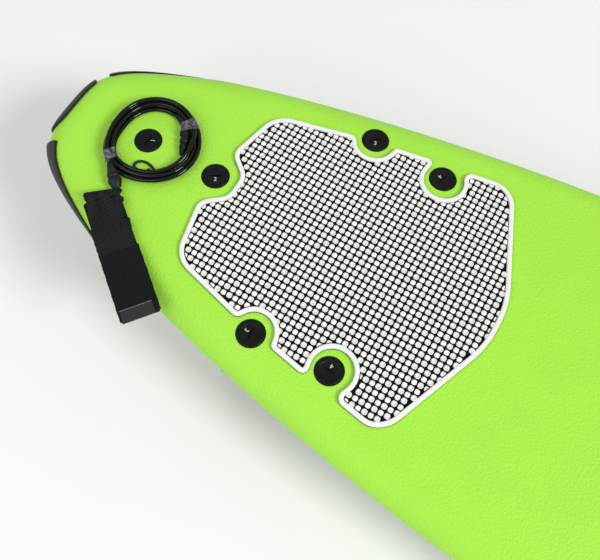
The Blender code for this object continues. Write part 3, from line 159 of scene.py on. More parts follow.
# Pad
PAD_LOW = 0.0003
PAD_BASE_TOP = 0.0021
PAD_TOP = 0.0054
PAD_BORDER = 0.0060
PAD_GROOVE = 0.0012
BACKING_STRIP = 0.0125
BACKING_CELL = 0.004
BACKING_LIFT = 0.0001
FIELD_UNDER_RIM = 0.0008
FILLET_STEPS = 9
SMALLEST_FILLET = 0.0015
# Rounding of the rim in millimetres: in from its outer or its inner side, and down from its top
RIM_OUTER_MM = [(0.0, 1.3), (0.15, 0.75), (0.5, 0.3), (1.0, 0.08), (1.7, 0.0)]
RIM_INNER_MM = [(1.6, 0.0), (0.9, 0.1), (0.4, 0.4), (0.1, 0.9), (0.0, 1.5)]
PAD_ASIDE = -0.0016
# Corners of its left half: the bolt they are measured from, ahead of it, outside it and the fillet
PAD_CORNERS = [
    ("2", 0.3995, 0.0311, 0.1400),
    ("2", 0.3449, 0.1702, 0.0420),
    ("4_left", 0.0726, 0.0346, 0.0300),
    ("4_left", 0.0192, 0.0255, 0.0110),
    ("4_left", 0.0433, -0.0296, 0.0263),
    ("4_left", -0.0266, -0.0288, 0.0258),
    ("4_left", -0.0206, 0.0197, 0.0075),
    ("3_left", 0.0296, 0.0025, 0.0070),
    ("3_left", 0.0213, -0.0319, 0.0255),
    ("3_left", -0.0126, -0.0271, 0.0225),
    ("3_left", -0.0243, -0.0084, 0.0100),
    ("2", 0.0185, 0.1213, 0.0380),
    ("2", 0.0019, 0.0401, 0.0200),
    ("2", 0.0305, 0.0165, 0.0190),
]
CELL_X = 0.0083
CELL_Y = 0.00848
CELL_ORIGIN_MM = (6.5, 4.7)
PILLOW_SIDES = 20
# Pillows: half width, squareness, height, and their profile as shares of the two, foot to middle
SMALL_PILLOW = (
    0.00320, 3.0, 0.0026, [(1.0, 0.0), (1.0, 0.55), (0.98, 0.75), (0.88, 0.95), (0.5, 1.0)],
)
LARGE_PILLOW = (
    0.00357, 2.7, 0.0033,
    [(1.0, 0.0), (1.0, 0.55), (0.94, 0.86), (0.80, 1.0), (0.45, 0.66), (0.2, 0.5)],
)
SMALL_PILLOW_BEYOND = 0.0015
LARGE_PILLOW_BEYOND = 0.0026

# Leash plug
PLUG_FROM_BOLT = 0.0472
PLUG_FLANGE_RADIUS = 0.0095

# Leash cord and its coil
CORD_DIAMETER = 0.0055
CORD_RESOLUTION = 6
GAP = 0.0003
COIL_AHEAD_OF_BOLT = 0.0086
COIL_UNDER_CLEARANCE = 0.0013
LOOP_PITCH = 0.00566
LAYER_RISE = 0.0060
COIL_START_ANGLE = 97.0
COIL_START_RADIUS = 0.0482
TURNS_OUT = 2.25
TURNS_CLIMBING = 0.5
CLIMB_BULGE = 0.0010
LOBES = 3.0
LOBE_SIZE = 0.0015
LOBES_FROM = 110.0
DENT_SIZE = 0.0026
DENT_ANGLE = 188.0
DENT_SPREAD = 30.0
SWIVEL_DRAW_IN = 0.0022
SWIVEL_ANGLE = 52.0
SWIVEL_SPREAD = 30.0
SWIVEL_LOOPS_FROM = 1330.0
ANGLE_STEP = 5.0
ROUTE_STEPS = 4
# Where the cord leaves the loops and crosses them: angle in degrees, radius and height
CROSSING_KNOTS_MM = [
    (1760, 49.75, 10.05), (1775, 49.95, 10.9), (1790, 50.5, 13.0), (1805, 51.4, 15.2),
    (1820, 52.5, 16.2), (1850, 55.4, 16.4), (1880, 57.6, 16.3), (1910, 58.4, 16.2),
    (1940, 57.0, 16.2), (1965, 54.6, 16.2), (1985, 53.6, 16.2), (2000, 54.6, 16.2),
    (2015, 56.8, 16.2), (2028, 59.8, 16.2), (2040, 62.6, 15.9),
]

# Swivels: x and y from bolt 1, height and radius
BOARD_SWIVEL_MM = [
    (13.6, 48.2, 4.6, 3.4), (17.4, 47.7, 5.0, 3.9), (22.3, 45.6, 5.6, 4.6), (27.4, 42.2, 6.1, 4.9),
    (31.6, 38.6, 6.5, 5.2), (35.5, 33.7, 6.9, 6.1), (39.1, 28.4, 7.3, 6.9), (42.0, 23.9, 7.4, 5.6),
    (44.2, 18.8, 7.3, 6.6), (45.2, 16.0, 7.1, 5.2),
]
BOARD_EYE_MM = [
    (45.4, 15.4, 7.0, 4.8), (46.9, 12.3, 6.9, 5.6), (49.3, 7.0, 6.4, 4.6), (51.9, 1.4, 5.6, 3.5),
]
# Rings moulded on a barrel: from and to as shares of its length, their pitch and depth
BOARD_SWIVEL_RIBS = (0.08, 0.52, 0.0026, 0.00035)
CUFF_SWIVEL_RIBS = (0.10, 0.62, 0.0030, 0.0004)
CUFF_SWIVEL_START_MM = (-14.7, -60.9, 14.4)
CUFF_SWIVEL_END_MM = (9.3, -81.3, 7.4)
CUFF_SWIVEL_FLATNESS = 0.72
CUFF_SWIVEL_SPLIT = 0.56
# Share of the length, and radius there
CUFF_BARREL_MM = [(0.0, 3.6), (0.2, 4.8), (0.5, 6.2), (0.8, 7.6), (0.94, 7.6), (1.0, 7.0)]
CUFF_EYE_MM = [(0.0, 7.2), (0.08, 7.9), (0.28, 8.9), (0.6, 7.9), (1.0, 5.8)]
BOARD_SWIVEL_SIDES = 32
CUFF_SWIVEL_SIDES = 40
SWIVEL_STEPS = 8

# Strap and string
STRAP_THICKNESS = 0.003
STRAP_HEIGHT = 0.0070
STRAP_RADIUS = 0.0446
STRAP_ANGLES = (-2.0, -50.0)
STRAP_EDGE = 0.0006
STRAP_STEPS = 36
STRING_DIAMETER = 0.0035
STRING_STEPS = 5
STRING_POINTS_MM = [
    (35.0, -34.6), (31.9, -33.6), (27.6, -31.6), (22.6, -30.2), (17.4, -29.9), (12.4, -31.0),
    (8.4, -33.6), (6.2, -37.6), (6.8, -41.4), (9.6, -43.7), (14.6, -43.9), (19.8, -42.7),
    (24.6, -40.4),
]
KNOT_SIZE = 0.9
KNOT_FLATNESS = 0.9
KNOT_RELIEF = 0.14
KNOT_TWIST = (1.5, 4.0)
KNOT_SIDES = 40
KNOT_ROWS = 20
KNOT_SHARP_ANGLE = 80.0

# Cuff, measured along and across its own length
CUFF_NEAR_END_MM = (-0.3, -95.9)
CUFF_HEADING = -38.6
CUFF_LENGTH = 0.172
CUFF_RIGHT = -0.0305
CUFF_LEFT = 0.0198
CUFF_PAD_THICKNESS = 0.0085
WEBBING_HALF_WIDTH = 0.0233
WEBBING_MIDDLE = -0.0045
WEBBING_FROM = -0.0023
WEBBING_TO = 0.0440
WEBBING_SKEW = 0.20
WEBBING_SHIFT = 0.0032
WEBBING_THICKNESS = 0.0022
RIBBED_TO = 0.0820
FLAP_THICKNESS = 0.0026
TAB_FROM = 0.1590
TAB_TO = 0.1757
TAB_RIGHT = -0.0275
TAB_LEFT = 0.0125
TAB_THICKNESS = 0.0014
TAB_TONE = 0.011
# Lighter tone of the tab's near end: a painted highlight
TAB_HIGHLIGHT_TONE = 0.13
CUFF_DECK_TO_Y = 0.128
PADDING_FROM = 0.006
PADDING_END_SHORT = 0.001
PADDING_SIDE_SHORT = 0.0015
STRIP_COLUMNS = 26
STRIP_UNDERSIDE = (0.98, 0.5, 0.02)
STRIP_LEAST = 0.0002

# Rounding of the edges of the cuff's layers, and their steps along
PADDING_CUT = (0.0032, 0.003)
WOVEN_CUT = (0.0009, 0.0005)
NAP_CUT = (0.0010, 0.0006)
TAB_CUT = (0.0006, 0.001)

# Surface of the cuff's layers. Rows have a height, and the size and rate of their wavering;
# ripples a height, a rate along the cuff and a start
WEAVE_PITCH = 0.0026
PADDING_WAVES = (0.0002, 210.0)
WEBBING_ROWS = (0.00022, 0.9, 900.0)
WEBBING_RIPPLES = [(0.0007, 520.0), (0.0005, 1100.0, 1.0)]
RIBBED_ROWS = (0.00020, 0.7, 800.0)
RIBBED_RIPPLE = (0.0003, 700.0)
RIBBED_END_DROP = 0.0004
RIBBED_END_RIPPLE = (0.0001, 700.0)
NAP_WAVES = (0.00012, 240.0, 90.0)
NAP_RIPPLE = (0.0002, 330.0)
# The fold: from, to, depth. The dent: depth, place, spread. Narrowing: width, from, over
WEBBING_FOLD = (0.0080, 0.0100, 0.0010)
WEBBING_DENT = (0.0036, 0.0075, 0.0028)
WEBBING_NARROWING = (0.0052, 0.008, 0.036)
RIBBED_NARROWING = (0.0034, WEBBING_TO, RIBBED_TO - WEBBING_TO)
# The seam: place and slant. The stitching: place, slant, half width, depth
RIBBED_SEAM = (0.0400, 0.55)
STITCHING = (0.1440, 0.12, 0.0006, 0.0004)

# Tape bands: middle angle, half width in degrees, inner and outer radius, low and high
TAPES_MM = {
    "tape_band_left": (239.5, 8.0, 45.6, 67.4, 0.95, 20.0),
    "tape_band_right": (50.0, 8.5, 34.2, 65.0, 0.95, 20.0),
}
TAPE_COLUMNS = 14
TAPE_SIDES = 56
TAPE_SQUARENESS = 3.2
TAPE_ANGLE_SCALE = 0.35
TAPE_SECTION_SCALE = 0.28
TAPE_CREASES = ((1.0, 0.9), (2.7, 0.5))
TAPE_SHRINK = 0.055
TAPE_EDGE_SWAY = 0.35
TAPE_FOOT_MM = 0.1

# Camera, as places and directions in the board's axes, and its lens
CAMERA_PLACE = (BOLT_1_X + 0.4449, -0.4391, 0.9277)
CAMERA_RIGHT = (0.86463244, 0.50118883, 0.03493565)
CAMERA_BACK = (0.17412351, -0.36416592, 0.91491212)
SENSOR_WIDTH = 36.0
FOCAL_LENGTH = 50.16
CLIP_START = 0.01

# Floor and light
FLOOR_HALF = 9.0
WORLD_STRENGTH = 0.54
LIGHT_AIM_AHEAD = 0.2
# Azimuth and elevation in degrees, distance, size and power
LIGHTS = {
    "key": (-6.0, 42.0, 12.0, 3.4, 790.0),
    "fill": (-108.0, 46.0, 2.8, 2.0, 19.5),
}


# Frame and small tools


def joint(name):
    return next(entry for entry in frame["joints"] if entry["name"] == name)


def board_matrix():
    """The board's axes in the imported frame, from the joints of the two bolts on its centre line."""
    up = Vector(joint("bolt_1_lift")["axis"]).normalized()
    first = Vector(joint("bolt_1_turn")["pos_m"])
    second = Vector(joint("bolt_2_turn")["pos_m"])
    ahead = (second - first).normalized()
    left = up.cross(ahead)
    start = first - up * HEAD_PROUD - ahead * BOLT_1_X
    turn = Matrix((ahead, left, up)).transposed()
    return Matrix.Translation(start) @ turn.to_4x4()


BOARD = board_matrix()


def add(name, data, look, stands_for=(), body="board", at=None):
    """A piece of the object, drawn in the board's axes or about a place there, riding on a body."""
    piece = bpy.data.objects.new(name, data)
    bpy.context.scene.collection.objects.link(piece)
    if at is None:
        data.transform(BOARD)
    else:
        piece.matrix_world = BOARD @ at
    for one in look if isinstance(look, tuple) else (look,):
        data.materials.append(one)
    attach(piece, body)
    if stands_for:
        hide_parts(*stands_for)
    return piece


def mesh(name, points, faces, sharp_angle=SHARP_ANGLE, outward=True):
    """A smooth-shaded mesh, its edges sharp where faces meet at more than an angle in degrees."""
    data = bpy.data.meshes.new(name)
    data.from_pydata([tuple(point) for point in points], [], faces)
    if outward:
        work = bmesh.new()
        work.from_mesh(data)
        bmesh.ops.recalc_face_normals(work, faces=work.faces)
        work.to_mesh(data)
        work.free()
    data.shade_smooth()
    data.set_sharp_from_angle(angle=math.radians(sharp_angle))
    return data


def round_angles(count):
    """Angles evenly round a circle."""
    return [math.tau * k / count for k in range(count)]


def band(a, b, count):
    """Quads between two closed rings of points that begin at a and at b."""
    return [(a + k, a + (k + 1) % count, b + (k + 1) % count, b + k) for k in range(count)]


def loft_faces(rings, count, start=0):
    """Quads between neighbouring closed rings of points stored one after another."""
    begins = [start + ring * count for ring in range(rings)]
    return [face for a, b in zip(begins, begins[1:]) for face in band(a, b, count)]


def lofted(name, rings, sharp_angle=SHARP_ANGLE):
    """A closed shape through rings with the same number of points, with a flat cap at each end."""
    count = len(rings[0])
    points = [point for ring in rings for point in ring]
    faces = loft_faces(len(rings), count)
    faces += [tuple(range(count)), tuple(range(len(points) - count, len(points)))]
    return mesh(name, points, faces, sharp_angle)


def turned(name, profile, segments, centre):
    """A profile turned about the board's z through a centre; it starts and ends on that axis."""
    points = [centre + Vector((0.0, 0.0, profile[0][1]))]
    middle = profile[1:-1]
    for radius, height in middle:
        for turn in round_angles(segments):
            away = Vector((radius * math.cos(turn), radius * math.sin(turn), height))
            points.append(centre + away)
    points.append(centre + Vector((0.0, 0.0, profile[-1][1])))
    faces = []
    for first, ring in ((0, 1), (len(points) - 1, 1 + (len(middle) - 1) * segments)):
        faces += [(first, ring + k, ring + (k + 1) % segments) for k in range(segments)]
    return mesh(name, points, faces + loft_faces(len(middle), segments, 1))


def carved(data, tool_data):
    """A mesh with another one cut out of it."""
    holders = []
    for part in (data, tool_data):
        holder = bpy.data.objects.new(part.name + "_work", part)
        bpy.context.scene.collection.objects.link(holder)
        holders.append(holder)
    body, tool = holders
    cut = body.modifiers.new("cut", "BOOLEAN")
    cut.operation = "DIFFERENCE"
    cut.solver = "EXACT"
    cut.object = tool
    bpy.context.view_layer.update()
    cut_body = body.evaluated_get(bpy.context.evaluated_depsgraph_get())
    result = bpy.data.meshes.new_from_object(cut_body)
    result.name = data.name
    result.set_sharp_from_angle(angle=math.radians(SHARP_ANGLE))
    for holder in holders:
        bpy.data.objects.remove(holder, do_unlink=True)
    return result


def curve_through(knots, steps):
    """Points on a smooth curve through knots of any number of values, in steps between them."""
    knots = [np.array(knot, float) for knot in knots]
    padded = [2 * knots[0] - knots[1]] + knots + [2 * knots[-1] - knots[-2]]
    found = []
    for a, b, c, d in zip(padded, padded[1:], padded[2:], padded[3:]):
        for k in range(steps):
            t = k / steps
            found.append(0.5 * (2 * b + (c - a) * t + (2 * a - 5 * b + 4 * c - d) * t**2
                                + (3 * b - a - 3 * c + d) * t**3))
    return found + [knots[-1]]


def swept(name, stations, sides, flat):
    """A round or flattened bar through stations of point and radius, its ends capped flat."""
    rings = []
    for i, (point, radius) in enumerate(stations):
        before = stations[max(i - 1, 0)][0]
        after = stations[min(i + 1, len(stations) - 1)][0]
        along = (after - before).normalized()
        aside = along.cross(Vector((0.0, 0.0, 1.0))).normalized()
        up = aside.cross(along)
        ring = []
        for turn in round_angles(sides):
            ring.append(point + (aside * math.cos(turn) + up * flat * math.sin(turn)) * radius)
        rings.append(ring)
    return lofted(name, rings)


def tube(name, route, diameter):
    """A round cord along a route, its two ends closed flat."""
    data = bpy.data.curves.new(name, "CURVE")
    data.dimensions = "3D"
    data.bevel_depth = diameter / 2
    data.bevel_resolution = CORD_RESOLUTION
    data.use_fill_caps = True
    spline = data.splines.new("POLY")
    spline.points.add(len(route) - 1)
    for point, place_at in zip(spline.points, route):
        point.co = (*place_at, 1.0)
    spline.use_smooth = True
    return data


def run_length(route):
    return sum((b - a).length for a, b in zip(route, route[1:]))


# Materials


class Look:
    """One material and short ways to build the nodes that give it its colour and surface."""

    def __init__(self, name, roughness, **sockets):
        self.data = bpy.data.materials.new(name)
        self.data.use_nodes = True
        self.tree = self.data.node_tree
        self.shader = self.tree.nodes["Principled BSDF"]
        self.shader.inputs["Roughness"].default_value = roughness
        for key, value in sockets.items():
            self.shader.inputs[key.replace("_", " ")].default_value = value
        self.normal = None

    def node(self, kind, **inputs):
        """A new node, its inputs given values or fed by sockets; _ in a name stands for a space."""
        made = self.tree.nodes.new("ShaderNode" + kind)
        for key, value in inputs.items():
            self.feed(made.inputs[key.replace("_", " ")], value)
        return made

    def feed(self, socket, value):
        if isinstance(value, bpy.types.NodeSocket):
            self.tree.links.new(value, socket)
        else:
            socket.default_value = value

    def place(self, scale=(1.0, 1.0, 1.0), turn=0.0):
        """The object's own coordinates, stretched, and turned about z by degrees."""
        where = self.node("TexCoord").outputs["Object"]
        rotation = (0.0, 0.0, math.radians(turn))
        mapping = self.node("Mapping", Vector=where, Scale=scale, Rotation=rotation)
        return mapping.outputs["Vector"]

    def noise(self, scale, detail=3.0, rough=0.55, where=None):
        where = where or self.place()
        made = self.node("TexNoise", Vector=where, Scale=scale, Detail=detail, Roughness=rough)
        return made.outputs["Fac"]

    def cells(self, scale, where=None):
        made = self.node("TexVoronoi", Vector=where or self.place(), Scale=scale)
        return made.outputs["Distance"]

    def wrinkled(self, scale, reach):
        """The object's own coordinates, pushed about by noise."""
        shift = self.node("TexNoise", Vector=self.place(), Scale=scale).outputs["Color"]
        made = self.node("VectorMath")
        made.operation = "MULTIPLY_ADD"
        for socket, value in zip(made.inputs, (shift, (reach, reach, reach), self.place())):
            self.feed(socket, value)
        return made.outputs["Vector"]

    def waves(self, scale, direction, where=None, distortion=0.0):
        where = where or self.place()
        made = self.node(
            "TexWave", Vector=where, Scale=scale, Distortion=distortion, Detail_Scale=2.0
        )
        made.bands_direction = direction
        return made.outputs["Fac"]

    def product(self, a, b):
        made = self.node("Math")
        made.operation = "MULTIPLY"
        for socket, value in zip(made.inputs, (a, b)):
            self.feed(socket, value)
        return made.outputs["Value"]

    def ramp(self, value, stops):
        made = self.node("ValToRGB", Fac=value)
        entries = made.color_ramp.elements
        while len(entries) < len(stops):
            entries.new(0.5)
        for entry, (position, colour) in zip(entries, stops):
            entry.position = position
            entry.color = (*colour, 1.0)
        return made.outputs["Color"]

    def colour(self, value, stops):
        self.feed(self.shader.inputs["Base Color"], self.ramp(value, stops))
        return self

    def tones(self, colour, spread, scale, detail=3.0):
        """A colour that wanders a little lighter and darker over the surface."""
        low = tuple(channel * (1.0 - spread) for channel in colour)
        high = tuple(min(channel * (1.0 + spread), 1.0) for channel in colour)
        return self.colour(self.noise(scale, detail), [(0.3, low), (0.7, high)])

    def shine(self, value, low, high):
        """Roughness between two values."""
        made = self.node("MapRange", Value=value, To_Min=low, To_Max=high)
        self.feed(self.shader.inputs["Roughness"], made.outputs["Result"])
        return self

    def bump(self, height, distance, strength):
        made = self.node("Bump", Height=height, Distance=distance, Strength=strength)
        if self.normal is not None:
            self.feed(made.inputs["Normal"], self.normal)
        self.normal = made.outputs["Normal"]
        self.feed(self.shader.inputs["Normal"], self.normal)
        return self


# Looks of one wandering colour: roughness and specular level; the colour with its spread, scale and
# detail; the least and the most roughness over noise of a scale and detail, or None; and for each
# bump the noise's scale and detail, the distance and the strength
PLAIN_LOOKS = {
    "bumper_rubber": (0.5, 0.40, ((0.030, 0.033, 0.033), 0.3, 60.0, 5.0), (0.42, 0.62, 140.0, 4.0),
                      (900.0, 2.0, 0.0003, 0.35)),
    # Painted shade: the bumper rubber made darker for the faces along the bumpers' top edge
    "bumper_edge_painted_shade_rubber": (0.5, 0.40, ((0.004, 0.0044, 0.0044), 0.3, 60.0, 5.0),
                           (0.42, 0.62, 140.0, 4.0), (900.0, 2.0, 0.0003, 0.35)),
    "bolt_plastic": (0.36, 0.16, ((0.006, 0.0065, 0.007), 0.3, 120.0, 4.0),
                     (0.30, 0.46, 260.0, 4.0), (1500.0, 2.0, 0.0001, 0.3)),
    "mark_paint": (0.6, 0.5, ((0.62, 0.62, 0.60), 0.1, 900.0, 3.0), None,
                   (900.0, 3.0, 0.0001, 0.2)),
    "washer_rubber": (0.8, 0.5, ((0.05, 0.05, 0.05), 0.2, 200.0, 3.0), None,
                      (700.0, 3.0, 0.0002, 0.4)),
    "sleeve_plastic": (0.5, 0.5, ((0.72, 0.72, 0.69), 0.04, 80.0, 3.0), None,
                       (500.0, 3.0, 0.0001, 0.25)),
    "fin_plastic": (0.3, 0.5, ((0.022, 0.023, 0.024), 0.2, 30.0, 3.0), (0.24, 0.38, 60.0, 3.0),
                    (700.0, 2.0, 0.0001, 0.25)),
    "pad_base_foam": (0.9, 0.08, ((0.006, 0.0065, 0.006), 0.3, 300.0, 3.0), None,
                      (900.0, 3.0, 0.0003, 0.5)),
    "pad_top_foam": (0.75, 0.25, ((0.94, 0.94, 0.93), 0.02, 60.0, 5.0), (0.66, 0.82, 150.0, 3.0),
                     (1100.0, 3.0, 0.0002, 0.4)),
    "pad_rim_foam": (0.7, 0.25, ((0.86, 0.86, 0.83), 0.04, 55.0, 4.0), None,
                     (120.0, 2.0, 0.0010, 0.25), (1100.0, 3.0, 0.0002, 0.4)),
    # The large pillows' foam: the same white foam made greyer as painted shade
    "pad_pillow_painted_shade_foam": (0.8, 0.2, ((0.775, 0.79, 0.745), 0.03, 60.0, 5.0),
                        (0.70, 0.86, 150.0, 3.0), (1100.0, 3.0, 0.0002, 0.4)),
    "cord_urethane": (0.08, 0.36, ((0.002, 0.002, 0.0025), 0.3, 90.0, 3.0),
                      (0.05, 0.11, 160.0, 4.0), (120.0, 2.0, 0.0004, 0.08)),
    "swivel_plastic": (0.42, 0.25, ((0.009, 0.010, 0.011), 0.3, 200.0, 3.0),
                       (0.30, 0.52, 380.0, 4.0), (1000.0, 3.0, 0.0002, 0.4)),
    "floor_paint": (0.7, 0.2, ((0.935, 0.935, 0.933), 0.006, 2.0, 3.0), None,
                    (40.0, 3.0, 0.0003, 0.1)),
}


def plain_look(name):
    roughness, specular, tones, shine, *bumps = PLAIN_LOOKS[name]
    look = Look(name, roughness, Specular_IOR_Level=specular)
    look.tones(*tones)
    if shine:
        low, high, scale, detail = shine
        look.shine(look.noise(scale, detail), low, high)
    for scale, detail, distance, strength in bumps:
        look.bump(look.noise(scale, detail), distance, strength)
    return look.data


def deck_foam():
    look = Look("deck_foam", 0.5, Specular_IOR_Level=0.3)
    look.tones((0.392, 0.815, 0.062), 0.025, 14.0, 5.0)
    look.shine(look.noise(90.0), 0.44, 0.60)
    look.bump(look.cells(340.0, look.wrinkled(120.0, 0.003)), 0.0010, 0.48)
    return look.bump(look.noise(60.0, 4.0), 0.0012, 0.10).data


def bottom_slick():
    look = Look("bottom_slick", 0.25, Specular_IOR_Level=0.5, Coat_Weight=0.25)
    look.tones((0.82, 0.84, 0.82), 0.03, 6.0)
    look.shine(look.noise(25.0), 0.20, 0.34)
    return look.bump(look.noise(70.0, 2.0), 0.0008, 0.10).data


def bead_foam():
    look = Look("core_foam", 0.9)
    look.colour(look.cells(260.0), [(0.2, (0.90, 0.90, 0.87)), (0.8, (0.78, 0.78, 0.74))])
    return look.bump(look.cells(260.0), 0.0006, 0.6).data


def plywood():
    look = Look("stringer_wood", 0.6)
    grain = look.noise(18.0, 6.0, 0.6, look.place((1.0, 30.0, 30.0)))
    look.colour(grain, [(0.3, (0.42, 0.27, 0.13)), (0.7, (0.66, 0.47, 0.27))])
    return look.bump(grain, 0.0003, 0.3).data


def insert_brass():
    look = Look("insert_brass", 0.3, Metallic=1.0)
    look.tones((0.78, 0.58, 0.26), 0.1, 300.0)
    look.shine(look.noise(400.0), 0.22, 0.4)
    return look.bump(look.waves(400.0, "Z"), 0.0002, 0.5).data


def drawn_steel():
    look = Look("stainless_steel", 0.3, Metallic=1.0)
    look.tones((0.62, 0.62, 0.62), 0.08, 300.0)
    look.shine(look.noise(400.0), 0.2, 0.36)
    return look.bump(look.noise(900.0), 0.0001, 0.2).data


def webbing():
    """Woven strap: rows across the cuff's length, crossed by fine ribs along it."""
    look = Look("webbing_fabric", 0.85, Specular_IOR_Level=0.1, Sheen_Weight=0.05,
                Sheen_Roughness=0.5)
    where = look.place(turn=-CUFF_HEADING)
    rows = look.waves(115.0, "X", where, 0.6)
    ribs = look.waves(190.0, "Y", where, 0.3)
    weave = look.product(rows, ribs)
    look.colour(weave, [(0.1, (0.002, 0.0025, 0.003)), (0.8, (0.042, 0.047, 0.052))])
    look.bump(rows, 0.0004, 0.7)
    return look.bump(ribs, 0.0003, 0.5).data


def plain_webbing():
    look = Look("strap_fabric", 0.85, Specular_IOR_Level=0.25, Sheen_Weight=0.1)
    rows = look.waves(300.0, "Z")
    look.colour(rows, [(0.1, (0.006, 0.006, 0.007)), (0.9, (0.025, 0.026, 0.028))])
    return look.bump(rows, 0.0003, 0.6).data


def string_nylon():
    look = Look("string_nylon", 0.55)
    twist = look.waves(420.0, "DIAGONAL", distortion=0.5)
    look.colour(twist, [(0.1, (0.005, 0.005, 0.005)), (0.9, (0.022, 0.022, 0.023))])
    return look.bump(twist, 0.0004, 0.7).data


def neoprene():
    look = Look("cuff_neoprene", 0.9, Specular_IOR_Level=0.1, Sheen_Weight=0.05,
                Sheen_Roughness=0.4)
    look.tones((0.008, 0.008, 0.009), 0.35, 500.0, 4.0)
    return look.bump(look.cells(900.0), 0.0003, 0.6).data


def hook_and_loop():
    look = Look("flap_fabric", 0.95, Specular_IOR_Level=0.1, Sheen_Weight=0.06,
                Sheen_Roughness=0.5)
    nap = look.noise(700.0, 5.0, 0.7)
    look.colour(nap, [(0.3, (0.004, 0.0045, 0.005)), (0.75, (0.013, 0.0145, 0.016))])
    return look.bump(nap, 0.0005, 0.5).data


def tab_plastic(name, tone):
    look = Look(name, 0.55)
    look.tones((tone, tone * 1.07, tone * 1.15), 0.15, 90.0)
    look.bump(look.waves(260.0, "X", look.place(turn=-CUFF_HEADING)), 0.0002, 0.35)
    return look.bump(look.noise(600.0), 0.0002, 0.3).data


def clear_tape():
    """Crinkled clear tape: mostly see-through, whiter along its creases, partly as the film's own
    whitening and partly as a painted highlight.
    """
    look = Look("clear_tape", 0.16, Specular_IOR_Level=0.8, Coat_Weight=0.5, IOR=1.45)
    creases = look.noise(230.0, 5.0, 0.65)
    # The whiter colour along the creases is partly a painted highlight
    look.colour(creases, [(0.35, (0.16, 0.17, 0.18)), (0.72, (0.62, 0.64, 0.66))])
    veil = look.node(
        "MapRange", Value=creases, From_Min=0.42, From_Max=0.75, To_Min=0.12, To_Max=0.52
    )
    look.feed(look.shader.inputs["Alpha"], veil.outputs["Result"])
    look.shine(creases, 0.10, 0.30)
    return look.bump(look.noise(300.0, 4.0, 0.6), 0.0012, 0.8).data


# Shape of the board


def smooth_step(value):
    value = min(max(value, 0.0), 1.0)
    return value * value * (3.0 - 2.0 * value)


def bezier(corners, share):
    a, b, c, d = corners
    rest = 1.0 - share
    point = rest**3 * a + 3 * rest**2 * share * b + 3 * rest * share**2 * c + share**3 * d
    slope = 3 * rest**2 * (b - a) + 6 * rest * share * (c - b) + 3 * share**2 * (d - c)
    return point, slope.normalized()


def outline_curves():
    """The left half outline's three curves: tail to shoulder, to the widest point, to the nose."""
    along = Vector((1.0, SHOULDER_SLOPE)).normalized()
    shoulder = Vector((SHOULDER_X, SHOULDER_HALF_WIDTH))
    wide = Vector((WIDE_POINT_X, HALF_WIDTH))
    nose = Vector((BOARD_LENGTH, 0.0))
    back = shoulder - along * SHOULDER_REACH_BACK
    forward = shoulder + along * SHOULDER_REACH_FORWARD
    before_nose = nose + Vector((0.0, NOSE_BLUNTNESS))
    return [
        (Vector((0.0, 0.0)), Vector((0.0, TAIL_BLUNTNESS)), back, shoulder),
        (shoulder, forward, wide - Vector((WIDE_REACH_BACK, 0.0)), wide),
        (wide, wide + Vector((WIDE_REACH_FORWARD, 0.0)), before_nose, nose),
    ]


OUTLINE = outline_curves()


def outline_station(run):
    """Point and outward direction, at run 0 tail, 1 shoulder, 2 widest point and 3 nose."""
    piece = min(int(abs(run)), 2)
    point, slope = bezier(OUTLINE[piece], abs(run) - piece)
    outward = Vector((-slope.y, slope.x))
    if run < 0.0:
        return Vector((point.x, -point.y)), Vector((outward.x, -outward.y))
    return point, outward


def run_where(measure, value):
    """The run up to the widest point at which a growing measure of the outline reaches a value."""
    low, high = 0.0, 2.0
    for _ in range(RUN_HALVINGS):
        middle = (low + high) / 2
        if measure(outline_station(middle)[0]) < value:
            low = middle
        else:
            high = middle
    return (low + high) / 2


def deck_line(x):
    rise = max(x - NOSE_RISE_FROM_X, 0.0) / (BOARD_LENGTH - NOSE_RISE_FROM_X)
    return NOSE_LIFT * rise**NOSE_CURVE_POWER


def thickness(x):
    if x < WIDE_POINT_X:
        share = smooth_step((x - FLAT_BOTTOM_TO_X) / (WIDE_POINT_X - FLAT_BOTTOM_TO_X))
        return TAIL_THICKNESS + (MID_THICKNESS - TAIL_THICKNESS) * share
    share = (x - WIDE_POINT_X) / (BOARD_LENGTH - WIDE_POINT_X)
    return MID_THICKNESS - (MID_THICKNESS - NOSE_THICKNESS) * share**2


def deck_height(x, y):
    return deck_line(x) - DECK_CROWN * y**2


def bottom_height(x):
    return deck_line(x) - thickness(x)


def apex_share(x):
    settled = min(max(x / APEX_SETTLES_X, 0.0), 1.0)
    return TAIL_APEX_SHARE + (MID_APEX_SHARE - TAIL_APEX_SHARE) * settled * (2.0 - settled)


def rail_point(run, angle, inset):
    """A point on the rounded rail: at 90 degrees deck, at 0 widest line, at -90 bottom."""
    point, outward = outline_station(run)
    middle = point - outward * RAIL_ROLL
    top = deck_height(middle.x, middle.y)
    bottom = bottom_height(middle.x)
    apex = top - (top - bottom) * apex_share(middle.x)
    turn = math.radians(angle)
    out = middle + outward * (RAIL_ROLL - inset) * math.cos(turn)
    half_height = (top - apex if angle > 0.0 else apex - bottom) - inset
    return Vector((out.x, out.y, apex + half_height * math.sin(turn)))


def half_runs():
    runs = [piece + i / count for piece, count in enumerate(RUN_STEPS) for i in range(count)]
    return runs + [float(len(RUN_STEPS))]


def rail_ring(angle, inset):
    """All round the board at one height of its rail: on the left to the nose, back on the right."""
    left = [rail_point(run, angle, inset) for run in half_runs()]
    for end in (left[0], left[-1]):
        end.y = 0.0
    right = [Vector((p.x, -p.y, p.z)) for p in reversed(left[1:-1])]
    return left + right


